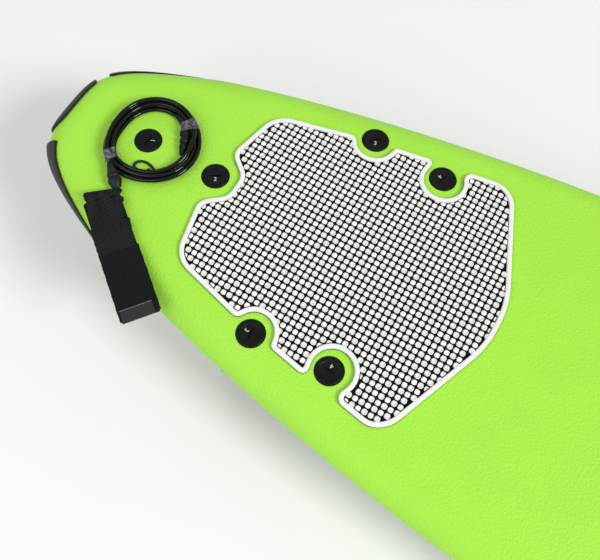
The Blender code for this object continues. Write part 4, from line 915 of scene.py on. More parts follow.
def shell(name, angles, inset, columns, crown):
    """A skin through rings round the board, with a sheet across the first, and its inner copy."""
    half = len(half_runs()) - 1
    count = 2 * half
    points, faces, edges = [], [], []
    for depth in (0.0, inset):
        start = len(points)
        edges.append(start + (len(angles) - 1) * count)
        for angle in angles:
            points += rail_ring(angle, depth)
        faces += loft_faces(len(angles), count, start)
        rows = []
        for i in range(1, half):
            left = points[start + i]
            row = [start + i]
            for k in range(1, columns):
                y = left.y * (1.0 - 2.0 * k / columns)
                row.append(len(points))
                points.append(Vector((left.x, y, left.z + crown * (left.y**2 - y**2))))
            rows.append(row + [start + count - i])
        for row, after in zip(rows, rows[1:]):
            faces += [(row[k], row[k + 1], after[k + 1], after[k]) for k in range(columns)]
        for k in range(columns):
            faces.append((start, rows[0][k], rows[0][k + 1]))
            faces.append((start + half, rows[-1][k + 1], rows[-1][k]))
    return mesh(name, points, faces + band(*edges, count), SOFT_SHARP_ANGLE)


def bolt_places():
    """Each bolt's number and side, with its place on the deck."""
    toe = math.radians(SIDE_FIN_TOE_IN)
    places = {"1": (BOLT_1_X, 0.0), "2": (BOLT_1_X + BOLT_SPACING, 0.0)}
    for side, sign in (("right", -1.0), ("left", 1.0)):
        back = (BOLT_1_X + SIDE_BOLT_BACK, sign * SIDE_BOLT_Y)
        places["3_" + side] = back
        places["4_" + side] = (
            back[0] + BOLT_SPACING * math.cos(toe),
            back[1] - sign * BOLT_SPACING * math.sin(toe),
        )
    return places


def drill(radius, centre):
    """A cylinder through the deck skin."""
    low = -2 * DECK_SKIN
    profile = [(0.0, low), (radius, low), (radius, DRILL_TO), (0.0, DRILL_TO)]
    return turned("drill", profile, DRILL_SIDES, Vector((*centre, 0.0)))


def build_skins():
    half_gap = SKIN_JOINT_GAP_ANGLE / 2
    angles = [*DECK_ANGLES, SKIN_JOINT_ANGLE + half_gap]
    deck = shell("deck_foam_skin", angles, DECK_SKIN, DECK_COLUMNS, DECK_CROWN)
    for place_at in bolt_places().values():
        deck = carved(deck, drill(HEAD_RADIUS + HEAD_SIDE_CLEARANCE, place_at))
    deck = carved(deck, drill(PLUG_FLANGE_RADIUS + GAP, (BOLT_1_X - PLUG_FROM_BOLT, 0.0)))
    add("deck_foam_skin", deck, deck_foam(), ["deck_skin"])
    angles = [*BOTTOM_ANGLES, SKIN_JOINT_ANGLE - half_gap]
    bottom = shell("bottom_sheet", angles, BOTTOM_SKIN, BOTTOM_COLUMNS, 0.0)
    add("bottom_sheet", bottom, bottom_slick(), ["bottom_skin"])


# Bumpers


def bumper_mesh(name, rows):
    """A finely ribbed rubber strip along the rail, rounded at its edges, with painted shade along its
    top edge.

    Each row has its run, top angle, share of the full width and how proud it stands.
    """
    stations = BUMPER_STATIONS
    rings = []
    travelled = 0.0
    last = None
    for run, top, width, proud in rows:
        centre = (top + BUMPER_LOW_ANGLE) / 2
        reach = (top - BUMPER_LOW_ANGLE) / 2 * width
        low, high = centre - reach, centre + reach
        here = outline_station(run)[0]
        travelled += (here - last).length if last else 0.0
        last = here
        rib = BUMPER_RIB_HEIGHT * math.cos(math.tau * travelled / BUMPER_RIB_PITCH)
        ring = []
        for station in stations:
            fullness = 1.0 - (2.0 * station - 1.0) ** BUMPER_SQUARENESS
            height = BUMPER_EDGE + (proud - BUMPER_EDGE + rib) * fullness
            ring.append(rail_point(run, low + (high - low) * station, -BUMPER_GAP - height))
        for station in reversed(stations[::BUMPER_INNER_STEP]):
            ring.append(rail_point(run, low + (high - low) * station, -BUMPER_GAP))
        rings.append(ring)
    data = lofted(name, rings, BUMPER_SHARP_ANGLE)
    # The faces along the top edge take the darker rubber as painted shade
    edge = range(len(stations) - BUMPER_PAINTED_SHADE_STEPS, len(stations))
    for face in data.polygons:
        face.material_index = int(face.index % len(rings[0]) in edge)
    return data


def end_spaced(steps):
    """Shares from 0 to 1, closer together near both ends."""
    half_turn = 2 * BUMPER_END_STEPS
    ends = [
        BUMPER_END_SHARE * (1.0 - math.cos(math.pi * i / half_turn))
        for i in range(BUMPER_END_STEPS)
    ]
    between = 1.0 - 2.0 * BUMPER_END_SHARE
    middle = [BUMPER_END_SHARE + between * i / steps for i in range(steps + 1)]
    return ends + middle + [1.0 - share for share in reversed(ends)]


def round_ends(share, length):
    """The share of the full width near an end that is rounded over a length."""
    inward = min(share / length, 1.0)
    return BUMPER_END_WIDTH + (1.0 - BUMPER_END_WIDTH) * math.sqrt(1.0 - (1.0 - inward) ** 2)


def build_bumpers():
    rubber = plain_look("bumper_rubber"), plain_look("bumper_edge_painted_shade_rubber")
    right_end = run_where(lambda p: p.y, TAIL_BUMPER_RIGHT)
    left_end = run_where(lambda p: p.y, TAIL_BUMPER_LEFT)
    right_taper, left_taper = TAIL_BUMPER_TAPERS
    rows = []
    for share in end_spaced(TAIL_BUMPER_STEPS):
        run = -right_end + (right_end + left_end) * share
        width = min(round_ends(share, right_taper), round_ends(1.0 - share, left_taper))
        rows.append((run, TAIL_BUMPER_TOP_ANGLE, width, BUMPER_PROUD))
    data = bumper_mesh("tail_bumper_strip", rows)
    add("tail_bumper_strip", data, rubber, ["tail_bumper"])
    last = run_where(lambda p: p.x, RAIL_BUMPER_TO_X)
    for side, sign in (("left", 1.0), ("right", -1.0)):
        first = run_where(lambda p: p.y, RAIL_BUMPER_FROM_Y[side])
        start_angle = RAIL_BUMPER_TOP_ANGLE[side]
        rows = []
        for share in end_spaced(RAIL_BUMPER_STEPS):
            run = sign * (first + (last - first) * share)
            top = start_angle + (RAIL_BUMPER_TIP_ANGLE - start_angle) * share
            width = round_ends(min(share, 1.0 - share), RAIL_BUMPER_TAPER)
            proud = BUMPER_PROUD * (1.0 - RAIL_BUMPER_TIP_THINNING * share**2)
            rows.append((run, top, width, proud))
        name = "rail_bumper_strip_" + side
        add(name, bumper_mesh(name, rows), rubber, ["rail_bumper_" + side])


# Bolts


def bolt_profile(end):
    """Half section of a bolt from the middle of its head down to the end of its thread."""
    head = [
        (0.0, -DISH_DEPTH), (DISH_RADIUS / 2, -DISH_DEPTH), (DISH_RADIUS, -DISH_DEPTH),
        (DISH_RADIUS + DISH_DEPTH, -DISH_DEPTH / 2), (DISH_RADIUS + 2 * DISH_DEPTH, 0.0),
        (HEAD_RADIUS - HEAD_BEVEL - HEAD_EDGE, 0.0), (HEAD_RADIUS - HEAD_BEVEL, -HEAD_EDGE / 3),
        (HEAD_RADIUS - HEAD_EDGE, -HEAD_BEVEL + HEAD_EDGE),
        (HEAD_RADIUS, -HEAD_BEVEL - HEAD_EDGE), (HEAD_RADIUS, -HEAD_THICKNESS + HEAD_EDGE),
        (HEAD_RADIUS - HEAD_EDGE, -HEAD_THICKNESS), (SHANK_RADIUS, -HEAD_THICKNESS),
    ]
    height = end + THREAD_LENGTH
    thread = [(SHANK_RADIUS, height)]
    while height > end + 2 * THREAD_PITCH:
        thread.append((SHANK_RADIUS - THREAD_DEPTH, height - THREAD_PITCH / 2))
        thread.append((SHANK_RADIUS, height - THREAD_PITCH))
        height -= THREAD_PITCH
    return head + thread + [(SHANK_RADIUS * 3 / 4, end), (0.0, end)]


def slot_cutter(top, angle):
    """The box that cuts the coin slot of a bolt."""
    turn = Matrix.Rotation(math.radians(angle), 4, "Z")
    size = Matrix.Diagonal((SLOT_LENGTH, SLOT_WIDTH, 2 * (SLOT_DEPTH + DISH_DEPTH), 1.0))
    work = bmesh.new()
    bmesh.ops.create_cube(work, size=1.0, matrix=Matrix.Translation(top) @ turn @ size)
    data = bpy.data.meshes.new("slot_cutter")
    work.to_mesh(data)
    work.free()
    return data


def bolt_mark(label, top):
    """The number painted on a bolt's head, its top towards the middle, and its place there."""
    data = bpy.data.curves.new("bolt_mark_" + label, "FONT")
    data.body = label[0]
    data.size = MARK_HEIGHT
    data.align_x = "CENTER"
    data.align_y = "CENTER"
    data.extrude = MARK_HALF_THICKNESS
    away = Vector((*MARK_PLACES_MM[label], 0.0)) * MM
    facing = Matrix.Rotation(math.atan2(-away.x, away.y) + math.pi, 4, "Z")
    place_at = top + away - Vector((0.0, 0.0, DISH_DEPTH - MARK_LIFT))
    return data, Matrix.Translation(place_at) @ facing


def build_bolts():
    plastic, paint = plain_look("bolt_plastic"), plain_look("mark_paint")
    for label, (x, y) in bolt_places().items():
        top = Vector((x, y, deck_height(x, y) + HEAD_PROUD))
        end = bottom_height(x) + SHANK_END_ABOVE_BOTTOM - top.z
        name, body = "fin_bolt_" + label, "bolt_" + label
        data = turned(name, bolt_profile(end), BOLT_SIDES, top)
        data = carved(data, slot_cutter(top, SLOT_TURNS[label]))
        add(name, data, plastic, [body], body)
        mark, place_at = bolt_mark(label, top)
        add("bolt_mark_" + label, mark, paint, (), body, place_at)


# Pad


def corner_at(corners, i):
    """A corner of an outline, the directions back and on from it, and half the angle between."""
    here = Vector(corners[i][:2])
    back = (Vector(corners[i - 1][:2]) - here).normalized()
    on = (Vector(corners[(i + 1) % len(corners)][:2]) - here).normalized()
    return here, back, on, math.acos(back.dot(on)) / 2


def filleted(corners):
    """A closed anticlockwise outline through corners given as x, y and fillet radius."""
    points = []
    for i, (_, _, radius) in enumerate(corners):
        here, back, on, half = corner_at(corners, i)
        centre = here + (back + on).normalized() * radius / math.sin(half)
        first = here + back * radius / math.tan(half) - centre
        last = here + on * radius / math.tan(half) - centre
        sweep = first.angle_signed(last)
        for k in range(FILLET_STEPS + 1):
            points.append(centre + Matrix.Rotation(-sweep * k / FILLET_STEPS, 2) @ first)
    return points


def pad_corners():
    """The corners round the pad, anticlockwise seen from above; its notches follow the bolts."""
    bolts = bolt_places()
    half = []
    for label, ahead, outside, fillet in PAD_CORNERS:
        x, y = bolts[label]
        half.append((x + ahead, y + outside, fillet))
    whole = half + [(x, -y, radius) for x, y, radius in reversed(half)]
    return [(x, y + PAD_ASIDE, radius) for x, y, radius in whole]


def inset_corners(corners, distance):
    """Moves a filleted outline inwards; its outer corners get tighter, its inner ones wider."""
    moved = []
    for i, (_, _, radius) in enumerate(corners):
        here, back, on, half = corner_at(corners, i)
        outer = on.cross(back) > 0.0
        inward = (back + on).normalized() * (1.0 if outer else -1.0)
        x, y = here + inward * distance / math.sin(half)
        radius = max(radius - distance, SMALLEST_FILLET) if outer else radius + distance
        moved.append((x, y, radius))
    return moved


def pad_rings(profile):
    """Rings of points round the pad, one for each inset and height in millimetres of a profile."""
    corners = pad_corners()
    rings = []
    for inset, height in profile:
        ring = []
        for p in filleted(inset_corners(corners, inset * MM)):
            ring.append(Vector((p.x, p.y, deck_height(p.x, p.y) + height * MM)))
        rings.append(ring)
    return rings


def ring_strip(name, rings):
    """A band through closed rings, its last ring joined to its first."""
    count = len(rings[0])
    points = [point for ring in rings for point in ring]
    last = (len(rings) - 1) * count
    faces = loft_faces(len(rings), count) + band(last, 0, count)
    return mesh(name, points, faces, SOFT_SHARP_ANGLE)


def inside(xs, ys, loop):
    """Which of many points lie inside a closed outline."""
    found = np.zeros(xs.shape, bool)
    for (x1, y1), (x2, y2) in zip(loop, loop[1:] + loop[:1]):
        if y1 == y2:
            continue
        spans = (y1 > ys) != (y2 > ys)
        found ^= spans & (xs < (x2 - x1) * (ys - y1) / (y2 - y1) + x1)
    return found


def nearest_on(points, loop):
    """The nearest place of a closed outline to each of many points."""
    a = np.array(loop)
    side = np.roll(a, -1, axis=0) - a
    away = points[:, None, :] - a[None]
    share = np.clip((away * side).sum(-1) / ((side**2).sum(-1) + 1e-12), 0.0, 1.0)
    found = a[None] + side[None] * share[..., None]
    best = ((found - points[:, None, :]) ** 2).sum(-1).argmin(axis=1)
    return found[np.arange(len(points)), best]


def pillow_shape(half, squareness, height, profile):
    """Rings of one pillow about its middle, from foot to top, and its middle point."""
    turns = np.linspace(0.0, math.tau, PILLOW_SIDES, endpoint=False)
    cos, sin = np.cos(turns), np.sin(turns)
    reach = half * (np.abs(cos) ** squareness + np.abs(sin) ** squareness) ** (-1.0 / squareness)
    rings = []
    for share, level in profile:
        heights = np.full(PILLOW_SIDES, level * height)
        rings.append(np.stack([share * reach * cos, share * reach * sin, heights], axis=-1))
    middle = np.array([[0.0, 0.0, profile[-1][1] * height]])
    return np.concatenate(rings + [middle])


def pillow_faces(rings):
    faces = loft_faces(rings, PILLOW_SIDES)
    top = (rings - 1) * PILLOW_SIDES
    middle = rings * PILLOW_SIDES
    return faces + [(top + k, top + (k + 1) % PILLOW_SIDES, middle) for k in range(PILLOW_SIDES)]


def pillow_mesh(name, shape, rings, middles, edge):
    """Copies of one pillow; what would pass an outline is drawn back to it."""
    points, faces = [], []
    pattern = pillow_faces(rings)
    for middle in middles:
        placed = shape.copy()
        placed[:, :2] += middle
        beyond = ~inside(placed[:, 0], placed[:, 1], edge)
        if beyond.any():
            placed[beyond, :2] = nearest_on(placed[beyond, :2], edge)
        placed[:, 2] += PAD_BASE_TOP - DECK_CROWN * placed[:, 1] ** 2
        start = len(points)
        points += placed.tolist()
        faces += [tuple(start + corner for corner in face) for face in pattern]
    data = bpy.data.meshes.new(name)
    data.from_pydata(points, [], faces)
    lower = np.tile(np.arange(len(pattern)) < PILLOW_SIDES, len(middles))
    data.polygons.foreach_set("material_index", lower.astype(np.int32))
    data.shade_smooth()
    return data


def backing_mesh(loop):
    """A black sheet that follows the crown under the whole field, in square cells."""
    low_x, high_x = min(p[0] for p in loop), max(p[0] for p in loop)
    low_y, high_y = min(p[1] for p in loop), max(p[1] for p in loop)
    xs = np.arange(low_x, high_x, BACKING_CELL)
    ys = np.arange(low_y, high_y, BACKING_CELL)
    grid_x, grid_y = np.meshgrid(xs, ys, indexing="ij")
    kept = inside(grid_x, grid_y, loop)
    numbers = np.full(grid_x.shape, -1)
    numbers[kept] = np.arange(kept.sum())
    corners = [numbers[:-1, :-1], numbers[1:, :-1], numbers[1:, 1:], numbers[:-1, 1:]]
    whole = np.all([corner >= 0 for corner in corners], axis=0)
    faces = np.stack([corner[whole] for corner in corners], axis=-1)
    levels = PAD_BASE_TOP + BACKING_LIFT - DECK_CROWN * grid_y**2
    points = np.stack([grid_x[kept], grid_y[kept], levels[kept]], axis=-1)
    data = bpy.data.meshes.new("pad_field_backing")
    data.from_pydata(points.tolist(), [], faces.tolist())
    data.shade_smooth()
    return data


def cell_numbers(values, start, pitch):
    """The numbers of the cells from the least of some values to the greatest."""
    first, last = (math.floor((value - start) / pitch) for value in (min(values), max(values)))
    return range(first, last + 2)


def build_pad_field(black, white, painted_shade_white):
    """Chequered field of small flat pillows and larger dished ones on the black backing; the larger
    ones are the same white foam, painted greyer as shade.
    """
    corners = pad_corners()
    edge = [tuple(p) for p in filleted(inset_corners(corners, PAD_BORDER + PAD_GROOVE))]
    under_rim = [tuple(p) for p in filleted(inset_corners(corners, PAD_BORDER - FIELD_UNDER_RIM))]
    add("pad_field_backing", backing_mesh(under_rim), black, ["pad_field"])
    start_x = BOLT_1_X + CELL_ORIGIN_MM[0] * MM
    start_y = CELL_ORIGIN_MM[1] * MM
    small, large = [], []
    for i in cell_numbers([p[0] for p in edge], start_x, CELL_X):
        for j in cell_numbers([p[1] for p in edge], start_y, CELL_Y):
            chosen = small if (i + j) % 2 else large
            chosen.append((start_x + i * CELL_X, start_y + j * CELL_Y))
    for name, middles, pillow, beyond, loop, look in (
        ("pad_small_pillows", small, SMALL_PILLOW, SMALL_PILLOW_BEYOND, edge, white),
        # The large pillows take the greyer foam, as painted shade
        ("pad_large_pillows", large, LARGE_PILLOW, LARGE_PILLOW_BEYOND, under_rim, painted_shade_white),
    ):
        places = np.array(middles)
        within = inside(places[:, 0], places[:, 1], edge)
        within |= np.linalg.norm(nearest_on(places, edge) - places, axis=1) < beyond
        data = pillow_mesh(name, pillow_shape(*pillow), len(pillow[3]), places[within], loop)
        add(name, data, (look, black), ["pad_field"])


def build_pad():
    black = plain_look("pad_base_foam")
    low, backed, top = PAD_LOW / MM, PAD_BASE_TOP / MM, PAD_TOP / MM
    strip_width, width = BACKING_STRIP / MM, PAD_BORDER / MM
    backing = pad_rings([(0.0, low), (0.0, backed), (strip_width, backed), (strip_width, low)])
    add("pad_backing", ring_strip("pad_backing", backing), black, ["pad_base"])
    foot = backed + GAP / MM
    profile = [(0.0, foot)] + [(inward, top - down) for inward, down in RIM_OUTER_MM]
    profile += [(width - outward, top - down) for outward, down in RIM_INNER_MM] + [(width, foot)]
    rim = ring_strip("pad_rim", pad_rings(profile))
    add("pad_rim", rim, plain_look("pad_rim_foam"), ["pad_border"])
    build_pad_field(black, plain_look("pad_top_foam"), plain_look("pad_pillow_painted_shade_foam"))


# Leash


def from_bolt_1(x_mm, y_mm, height_mm=0.0):
    return Vector((BOLT_1_X + x_mm * MM, y_mm * MM, height_mm * MM))


def coil_point(angle, radius, height):
    turn = math.radians(angle)
    centre_x = BOLT_1_X + COIL_AHEAD_OF_BOLT
    return Vector((centre_x + radius * math.cos(turn), radius * math.sin(turn), height))


def swelling(angle, middle, size, spread):
    """A smooth swelling about one angle of the coil, in degrees."""
    away = (angle - middle + 180.0) % 360.0 - 180.0
    return size * math.exp(-((away / spread) ** 2))


def coil_wobble(angle):
    """How far the loops stray from round: lobes, a dent, and the last ones drawn to the swivel."""
    lobes = LOBE_SIZE * math.cos(math.radians(LOBES * (angle - LOBES_FROM)))
    wobble = lobes - swelling(angle, DENT_ANGLE, DENT_SIZE, DENT_SPREAD)
    if angle >= SWIVEL_LOOPS_FROM:
        wobble -= swelling(angle, SWIVEL_ANGLE, SWIVEL_DRAW_IN, SWIVEL_SPREAD)
    return wobble


def coil_radius_and_height(angle):
    """Layer 1 spirals out, the cord climbs half a turn at the outside, and layer 2 spirals in."""
    low = COIL_UNDER_CLEARANCE + CORD_DIAMETER / 2
    turns = (angle - COIL_START_ANGLE) / 360.0
    outside = COIL_START_RADIUS + LOOP_PITCH * TURNS_OUT
    if turns <= TURNS_OUT:
        return COIL_START_RADIUS + LOOP_PITCH * turns, low
    if turns <= TURNS_OUT + TURNS_CLIMBING:
        share = (turns - TURNS_OUT) / TURNS_CLIMBING
        bulge = CLIMB_BULGE * math.sin(math.pi * share)
        return outside + bulge, low + LAYER_RISE * smooth_step(share)
    turns_in = turns - TURNS_OUT - TURNS_CLIMBING
    return outside - LOOP_PITCH * turns_in, low + LAYER_RISE


def cuff_swivel_axis():
    start = from_bolt_1(*CUFF_SWIVEL_START_MM)
    end = from_bolt_1(*CUFF_SWIVEL_END_MM)
    return start, (end - start).normalized(), (end - start).length


def cord_route():
    """The leash cord from the board swivel round the coil, over its top and to the cuff swivel."""
    first = from_bolt_1(*BOARD_SWIVEL_MM[0][:3])
    second = from_bolt_1(*BOARD_SWIVEL_MM[1][:3])
    away = (first - second).normalized()
    route = [first + away * GAP, first + away * (GAP + CORD_DIAMETER)]
    angle = COIL_START_ANGLE
    while angle < CROSSING_KNOTS_MM[0][0] - ANGLE_STEP:
        radius, height = coil_radius_and_height(angle)
        route.append(coil_point(angle, radius + coil_wobble(angle), height))
        angle += ANGLE_STEP
    for angle, radius, height in curve_through(CROSSING_KNOTS_MM, ROUTE_STEPS):
        route.append(coil_point(angle, radius * MM, height * MM))
    start, along, _ = cuff_swivel_axis()
    ends = [start - along * (CORD_DIAMETER + GAP), start - along * GAP]
    tail = curve_through(route[-2:] + ends, ROUTE_STEPS)
    return route[:-2] + [Vector(point) for point in tail]


def ribbed(stations, first, last, pitch, depth):
    """Stations with rings moulded on from one share of their length to another."""
    total = run_length([point for point, _ in stations])
    travelled, shaped, before = 0.0, [], stations[0][0]
    for point, radius in stations:
        travelled += (point - before).length
        before = point
        share = travelled / total
        if first < share < last:
            radius += depth * math.cos(math.tau * travelled / pitch) - depth
        shaped.append((point, radius))
    return shaped


def board_swivel_stations(knots_mm):
    found = curve_through(knots_mm, SWIVEL_STEPS)
    return [(from_bolt_1(x, y, height), radius * MM) for x, y, height, radius in found]


def cuff_swivel_stations(start, reach, shape_mm):
    found = curve_through(shape_mm, SWIVEL_STEPS)
    return [(start + reach * share, radius * MM) for share, radius in found]


def build_swivels():
    """The barrel and the eye of the swivels at the board's end and at the cuff's end."""
    start, along, length = cuff_swivel_axis()
    split = length * CUFF_SWIVEL_SPLIT
    rest = length - split - 2 * GAP
    eye_start = start + along * (split + 2 * GAP)
    board_barrel = board_swivel_stations(BOARD_SWIVEL_MM)
    cuff_barrel = cuff_swivel_stations(start, along * split, CUFF_BARREL_MM)
    board, cuff = (BOARD_SWIVEL_SIDES, 1.0), (CUFF_SWIVEL_SIDES, CUFF_SWIVEL_FLATNESS)
    moulded = plain_look("swivel_plastic")
    pieces = []
    for name, stations, form, node in (
        ("board_swivel_body", ribbed(board_barrel, *BOARD_SWIVEL_RIBS), board,
         "board_swivel_barrel"),
        ("board_swivel_loop", board_swivel_stations(BOARD_EYE_MM), board, "board_swivel_eye"),
        ("cuff_swivel_body", ribbed(cuff_barrel, *CUFF_SWIVEL_RIBS), cuff, "cuff_swivel_barrel"),
        ("cuff_swivel_loop", cuff_swivel_stations(eye_start, along * rest, CUFF_EYE_MM), cuff,
         "cuff_swivel_eye"),
    ):
        data = swept(name, stations, *form)
        pieces.append(add(name, data, moulded, [node]))
    return pieces


def build_cord():
    pieces = build_swivels()
    route = cord_route()
    data = tube("leash_line", route, CORD_DIAMETER)
    cord = add("leash_line", data, plain_look("cord_urethane"), ["leash_cord"])


def build_strap():
    rings = []
    low, high = GAP, GAP + STRAP_HEIGHT
    inner, outer = STRAP_RADIUS - STRAP_THICKNESS / 2, STRAP_RADIUS + STRAP_THICKNESS / 2
    soft = STRAP_EDGE
    section = [
        (inner, low + soft), (inner + soft, low), (outer - soft, low), (outer, low + soft),
        (outer, high - soft), (outer - soft, high), (inner + soft, high), (inner, high - soft),
    ]
    first, last = STRAP_ANGLES
    for i in range(STRAP_STEPS + 1):
        angle = first + (last - first) * i / STRAP_STEPS
        rings.append([coil_point(angle, radius, height) for radius, height in section])
    data = lofted("rail_saver", rings)
    add("rail_saver", data, plain_webbing(), ["rail_saver_strap"])


def knot_mesh(centre, radius):
    """A small overhand knot: a ball with the turns of the string standing out on it."""
    around, along = KNOT_TWIST
    rings = []
    for i in range(1, KNOT_ROWS):
        tilt = math.pi * i / KNOT_ROWS
        ring = []
        for turn in round_angles(KNOT_SIDES):
            strands = abs(math.cos(around * turn + along * tilt))
            reach = radius * (1.0 - KNOT_RELIEF + KNOT_RELIEF * strands)
            ring.append(centre + Vector((
                reach * math.sin(tilt) * math.cos(turn),
                reach * math.sin(tilt) * math.sin(turn),
                KNOT_FLATNESS * reach * math.cos(tilt),
            )))
        rings.append(ring)
    return lofted("string_end_knot", rings, KNOT_SHARP_ANGLE)


def build_string():
    look = string_nylon()
    up = Vector((0.0, 0.0, GAP + STRING_DIAMETER / 2))
    route = [from_bolt_1(x, y) + up for x, y in curve_through(STRING_POINTS_MM, STRING_STEPS)]
    data = tube("leash_string_loop", route, STRING_DIAMETER)
    string = add("leash_string_loop", data, look, ["leash_string"])
    end = (route[-1] - route[-2]).normalized()
    radius = KNOT_SIZE * STRING_DIAMETER
    centre = route[-1] + end * (radius + GAP)
    centre.z = GAP + radius
    knot = add("string_end_knot", knot_mesh(centre, radius), look, ["string_knot"])


def tape_point(angle, turn, band_mm):
    """A point of a tape band: on a squarish ring round the bundle, drawn in along its creases."""
    inner, outer, low, high = band_mm
    centre_r, centre_z = (inner + outer) / 2, (low + high) / 2
    half_r, half_z = (outer - inner) / 2, (high - low) / 2
    c, s = math.cos(turn), math.sin(turn)
    reach = (abs(c) ** TAPE_SQUARENESS + abs(s) ** TAPE_SQUARENESS) ** (-1 / TAPE_SQUARENESS)
    r = centre_r + half_r * reach * c
    z = centre_z + half_z * reach * s
    where = Vector((angle * TAPE_ANGLE_SCALE, r * TAPE_SECTION_SCALE, z * TAPE_SECTION_SCALE))
    crease = sum(noise.noise(where * scale) * size for scale, size in TAPE_CREASES)
    shrink = 1.0 - TAPE_SHRINK * abs(crease)
    r = centre_r + (r - centre_r) * shrink
    z = max(centre_z + (z - centre_z) * shrink, low + TAPE_FOOT_MM)
    return coil_point(angle + TAPE_EDGE_SWAY * crease, r * MM, z * MM)


def build_tapes():
    """Crinkled bands drawn tight round the bundle."""
    look = clear_tape()
    for name, (middle, half, *band_mm) in TAPES_MM.items():
        points = []
        for i in range(TAPE_COLUMNS + 1):
            angle = middle - half + 2 * half * i / TAPE_COLUMNS
            points += [tape_point(angle, turn, band_mm) for turn in round_angles(TAPE_SIDES)]
        faces = loft_faces(TAPE_COLUMNS + 1, TAPE_SIDES)
        data = mesh(name + "_film", points, faces, sharp_angle=180.0, outward=False)
        add(name + "_film", data, look, [name])


# Cuff


def lay_height(y):
    """Where a stiff strap lies: on the deck's crown, then straight on past the deck's edge."""
    reach, edge = abs(y), CUFF_DECK_TO_Y
    if reach < edge:
        return -DECK_CROWN * reach**2
    return -DECK_CROWN * edge**2 - 2 * DECK_CROWN * edge * (reach - edge)


def cuff_point(along, across, height):
    turn = math.radians(CUFF_HEADING)
    start = from_bolt_1(*CUFF_NEAR_END_MM)
    x = start.x + along * math.cos(turn) - across * math.sin(turn)
    y = start.y + along * math.sin(turn) + across * math.cos(turn)
    return Vector((x, y, lay_height(y) + height))


def strip(name, ends, heights, sides, edge, step, relief=None, sway=None, skew=0.0, shift=0.0):
    """A closed layer of the cuff.

    Relief lowers its top, and sway moves its left and right edges out.
    """
    (start, end), (low, high), (right, left) = ends, heights, sides
    count = max(2, round((end - start) / step))
    rings = []
    for i in range(count + 1):
        share = i / count
        along = start + (end - start) * share
        left_out, right_out = sway(along) if sway else (0.0, 0.0)
        first, last = left + left_out, right - right_out
        ring = []
        for k in range(STRIP_COLUMNS + 1):
            spot = k / STRIP_COLUMNS
            across = first + (last - first) * spot
            inward = min(spot, 1.0 - spot) * (left - right)
            drop = edge * (1.0 - math.sqrt(max(0.0, 1.0 - max(0.0, 1.0 - inward / edge) ** 2)))
            top = high - drop - (relief(along, across) if relief else 0.0)
            ring.append((across, max(top, low + STRIP_LEAST)))
        ring += [(first + (last - first) * spot, low) for spot in STRIP_UNDERSIDE]
        points = []
        for across, height in ring:
            place_at = along + skew * across * (1.0 - share)
            points.append(cuff_point(place_at, across + shift * (1.0 - share), height))
        rings.append(points)
    return lofted(name, rings, SOFT_SHARP_ANGLE)


def ripple(along, height, rate, start=0.0):
    return height * math.sin(along * rate + start)


def narrowing(along, width, start, reach):
    return width * smooth_step((along - start) / reach)


def woven_rows(along, across, height, waver, rate):
    turn = math.tau * along / WEAVE_PITCH + waver * math.sin(across * rate)
    return height * (1.0 - math.cos(turn))


def padding_relief(along, _):
    height, rate = PADDING_WAVES
    return height * (1.0 + math.sin(along * rate))


def webbing_relief(along, across):
    start, end, depth = WEBBING_FOLD
    return woven_rows(along, across, *WEBBING_ROWS) + (depth if start < along < end else 0.0)


def webbing_sway(along):
    """Ragged edges, the left one dented near the fold and drawn in past it."""
    wave = sum(ripple(along, *one) for one in WEBBING_RIPPLES)
    depth, middle, spread = WEBBING_DENT
    dent = depth * math.exp(-(((along - middle) / spread) ** 2))
    return wave - dent - narrowing(along, *WEBBING_NARROWING), wave


def ribbed_relief(along, across):
    """Woven rows up to a slanting seam, and nearly flat past it."""
    seam, slant = RIBBED_SEAM
    if along - WEBBING_TO > seam + across * slant:
        return RIBBED_END_DROP + ripple(along, *RIBBED_END_RIPPLE)
    return woven_rows(along, across, *RIBBED_ROWS)


def ribbed_sway(along):
    wave = ripple(along, *RIBBED_RIPPLE)
    return wave - narrowing(along, *RIBBED_NARROWING), wave


def nap_relief(along, across):
    """An uneven nap with a line of stitching across it."""
    place_at, slant, half, depth = STITCHING
    height, rate, rate_across = NAP_WAVES
    stitches = depth if abs(along - place_at - slant * across) < half else 0.0
    return height * (1.0 + math.sin(along * rate + across * rate_across)) + stitches


def nap_sway(along):
    wave = ripple(along, *NAP_RIPPLE)
    return wave, wave


def build_tab(low):
    """The pull tab, with a highlight painted along its near end."""
    data = strip("cuff_pull_tab", (TAB_FROM, TAB_TO), (low, low + TAB_THICKNESS),
                 (TAB_RIGHT, TAB_LEFT), *TAB_CUT)
    # The faces at the near end take the lighter plastic as a painted highlight
    highlight_face_count = len(data.polygons) // round((TAB_TO - TAB_FROM) / TAB_CUT[1])
    for face in data.polygons:
        face.material_index = int(face.index < highlight_face_count)
    look = tab_plastic("tab_plastic", TAB_TONE), tab_plastic("tab_highlight_plastic", TAB_HIGHLIGHT_TONE)
    add("cuff_pull_tab", data, look, ["cuff_tab"], "cuff_flap")


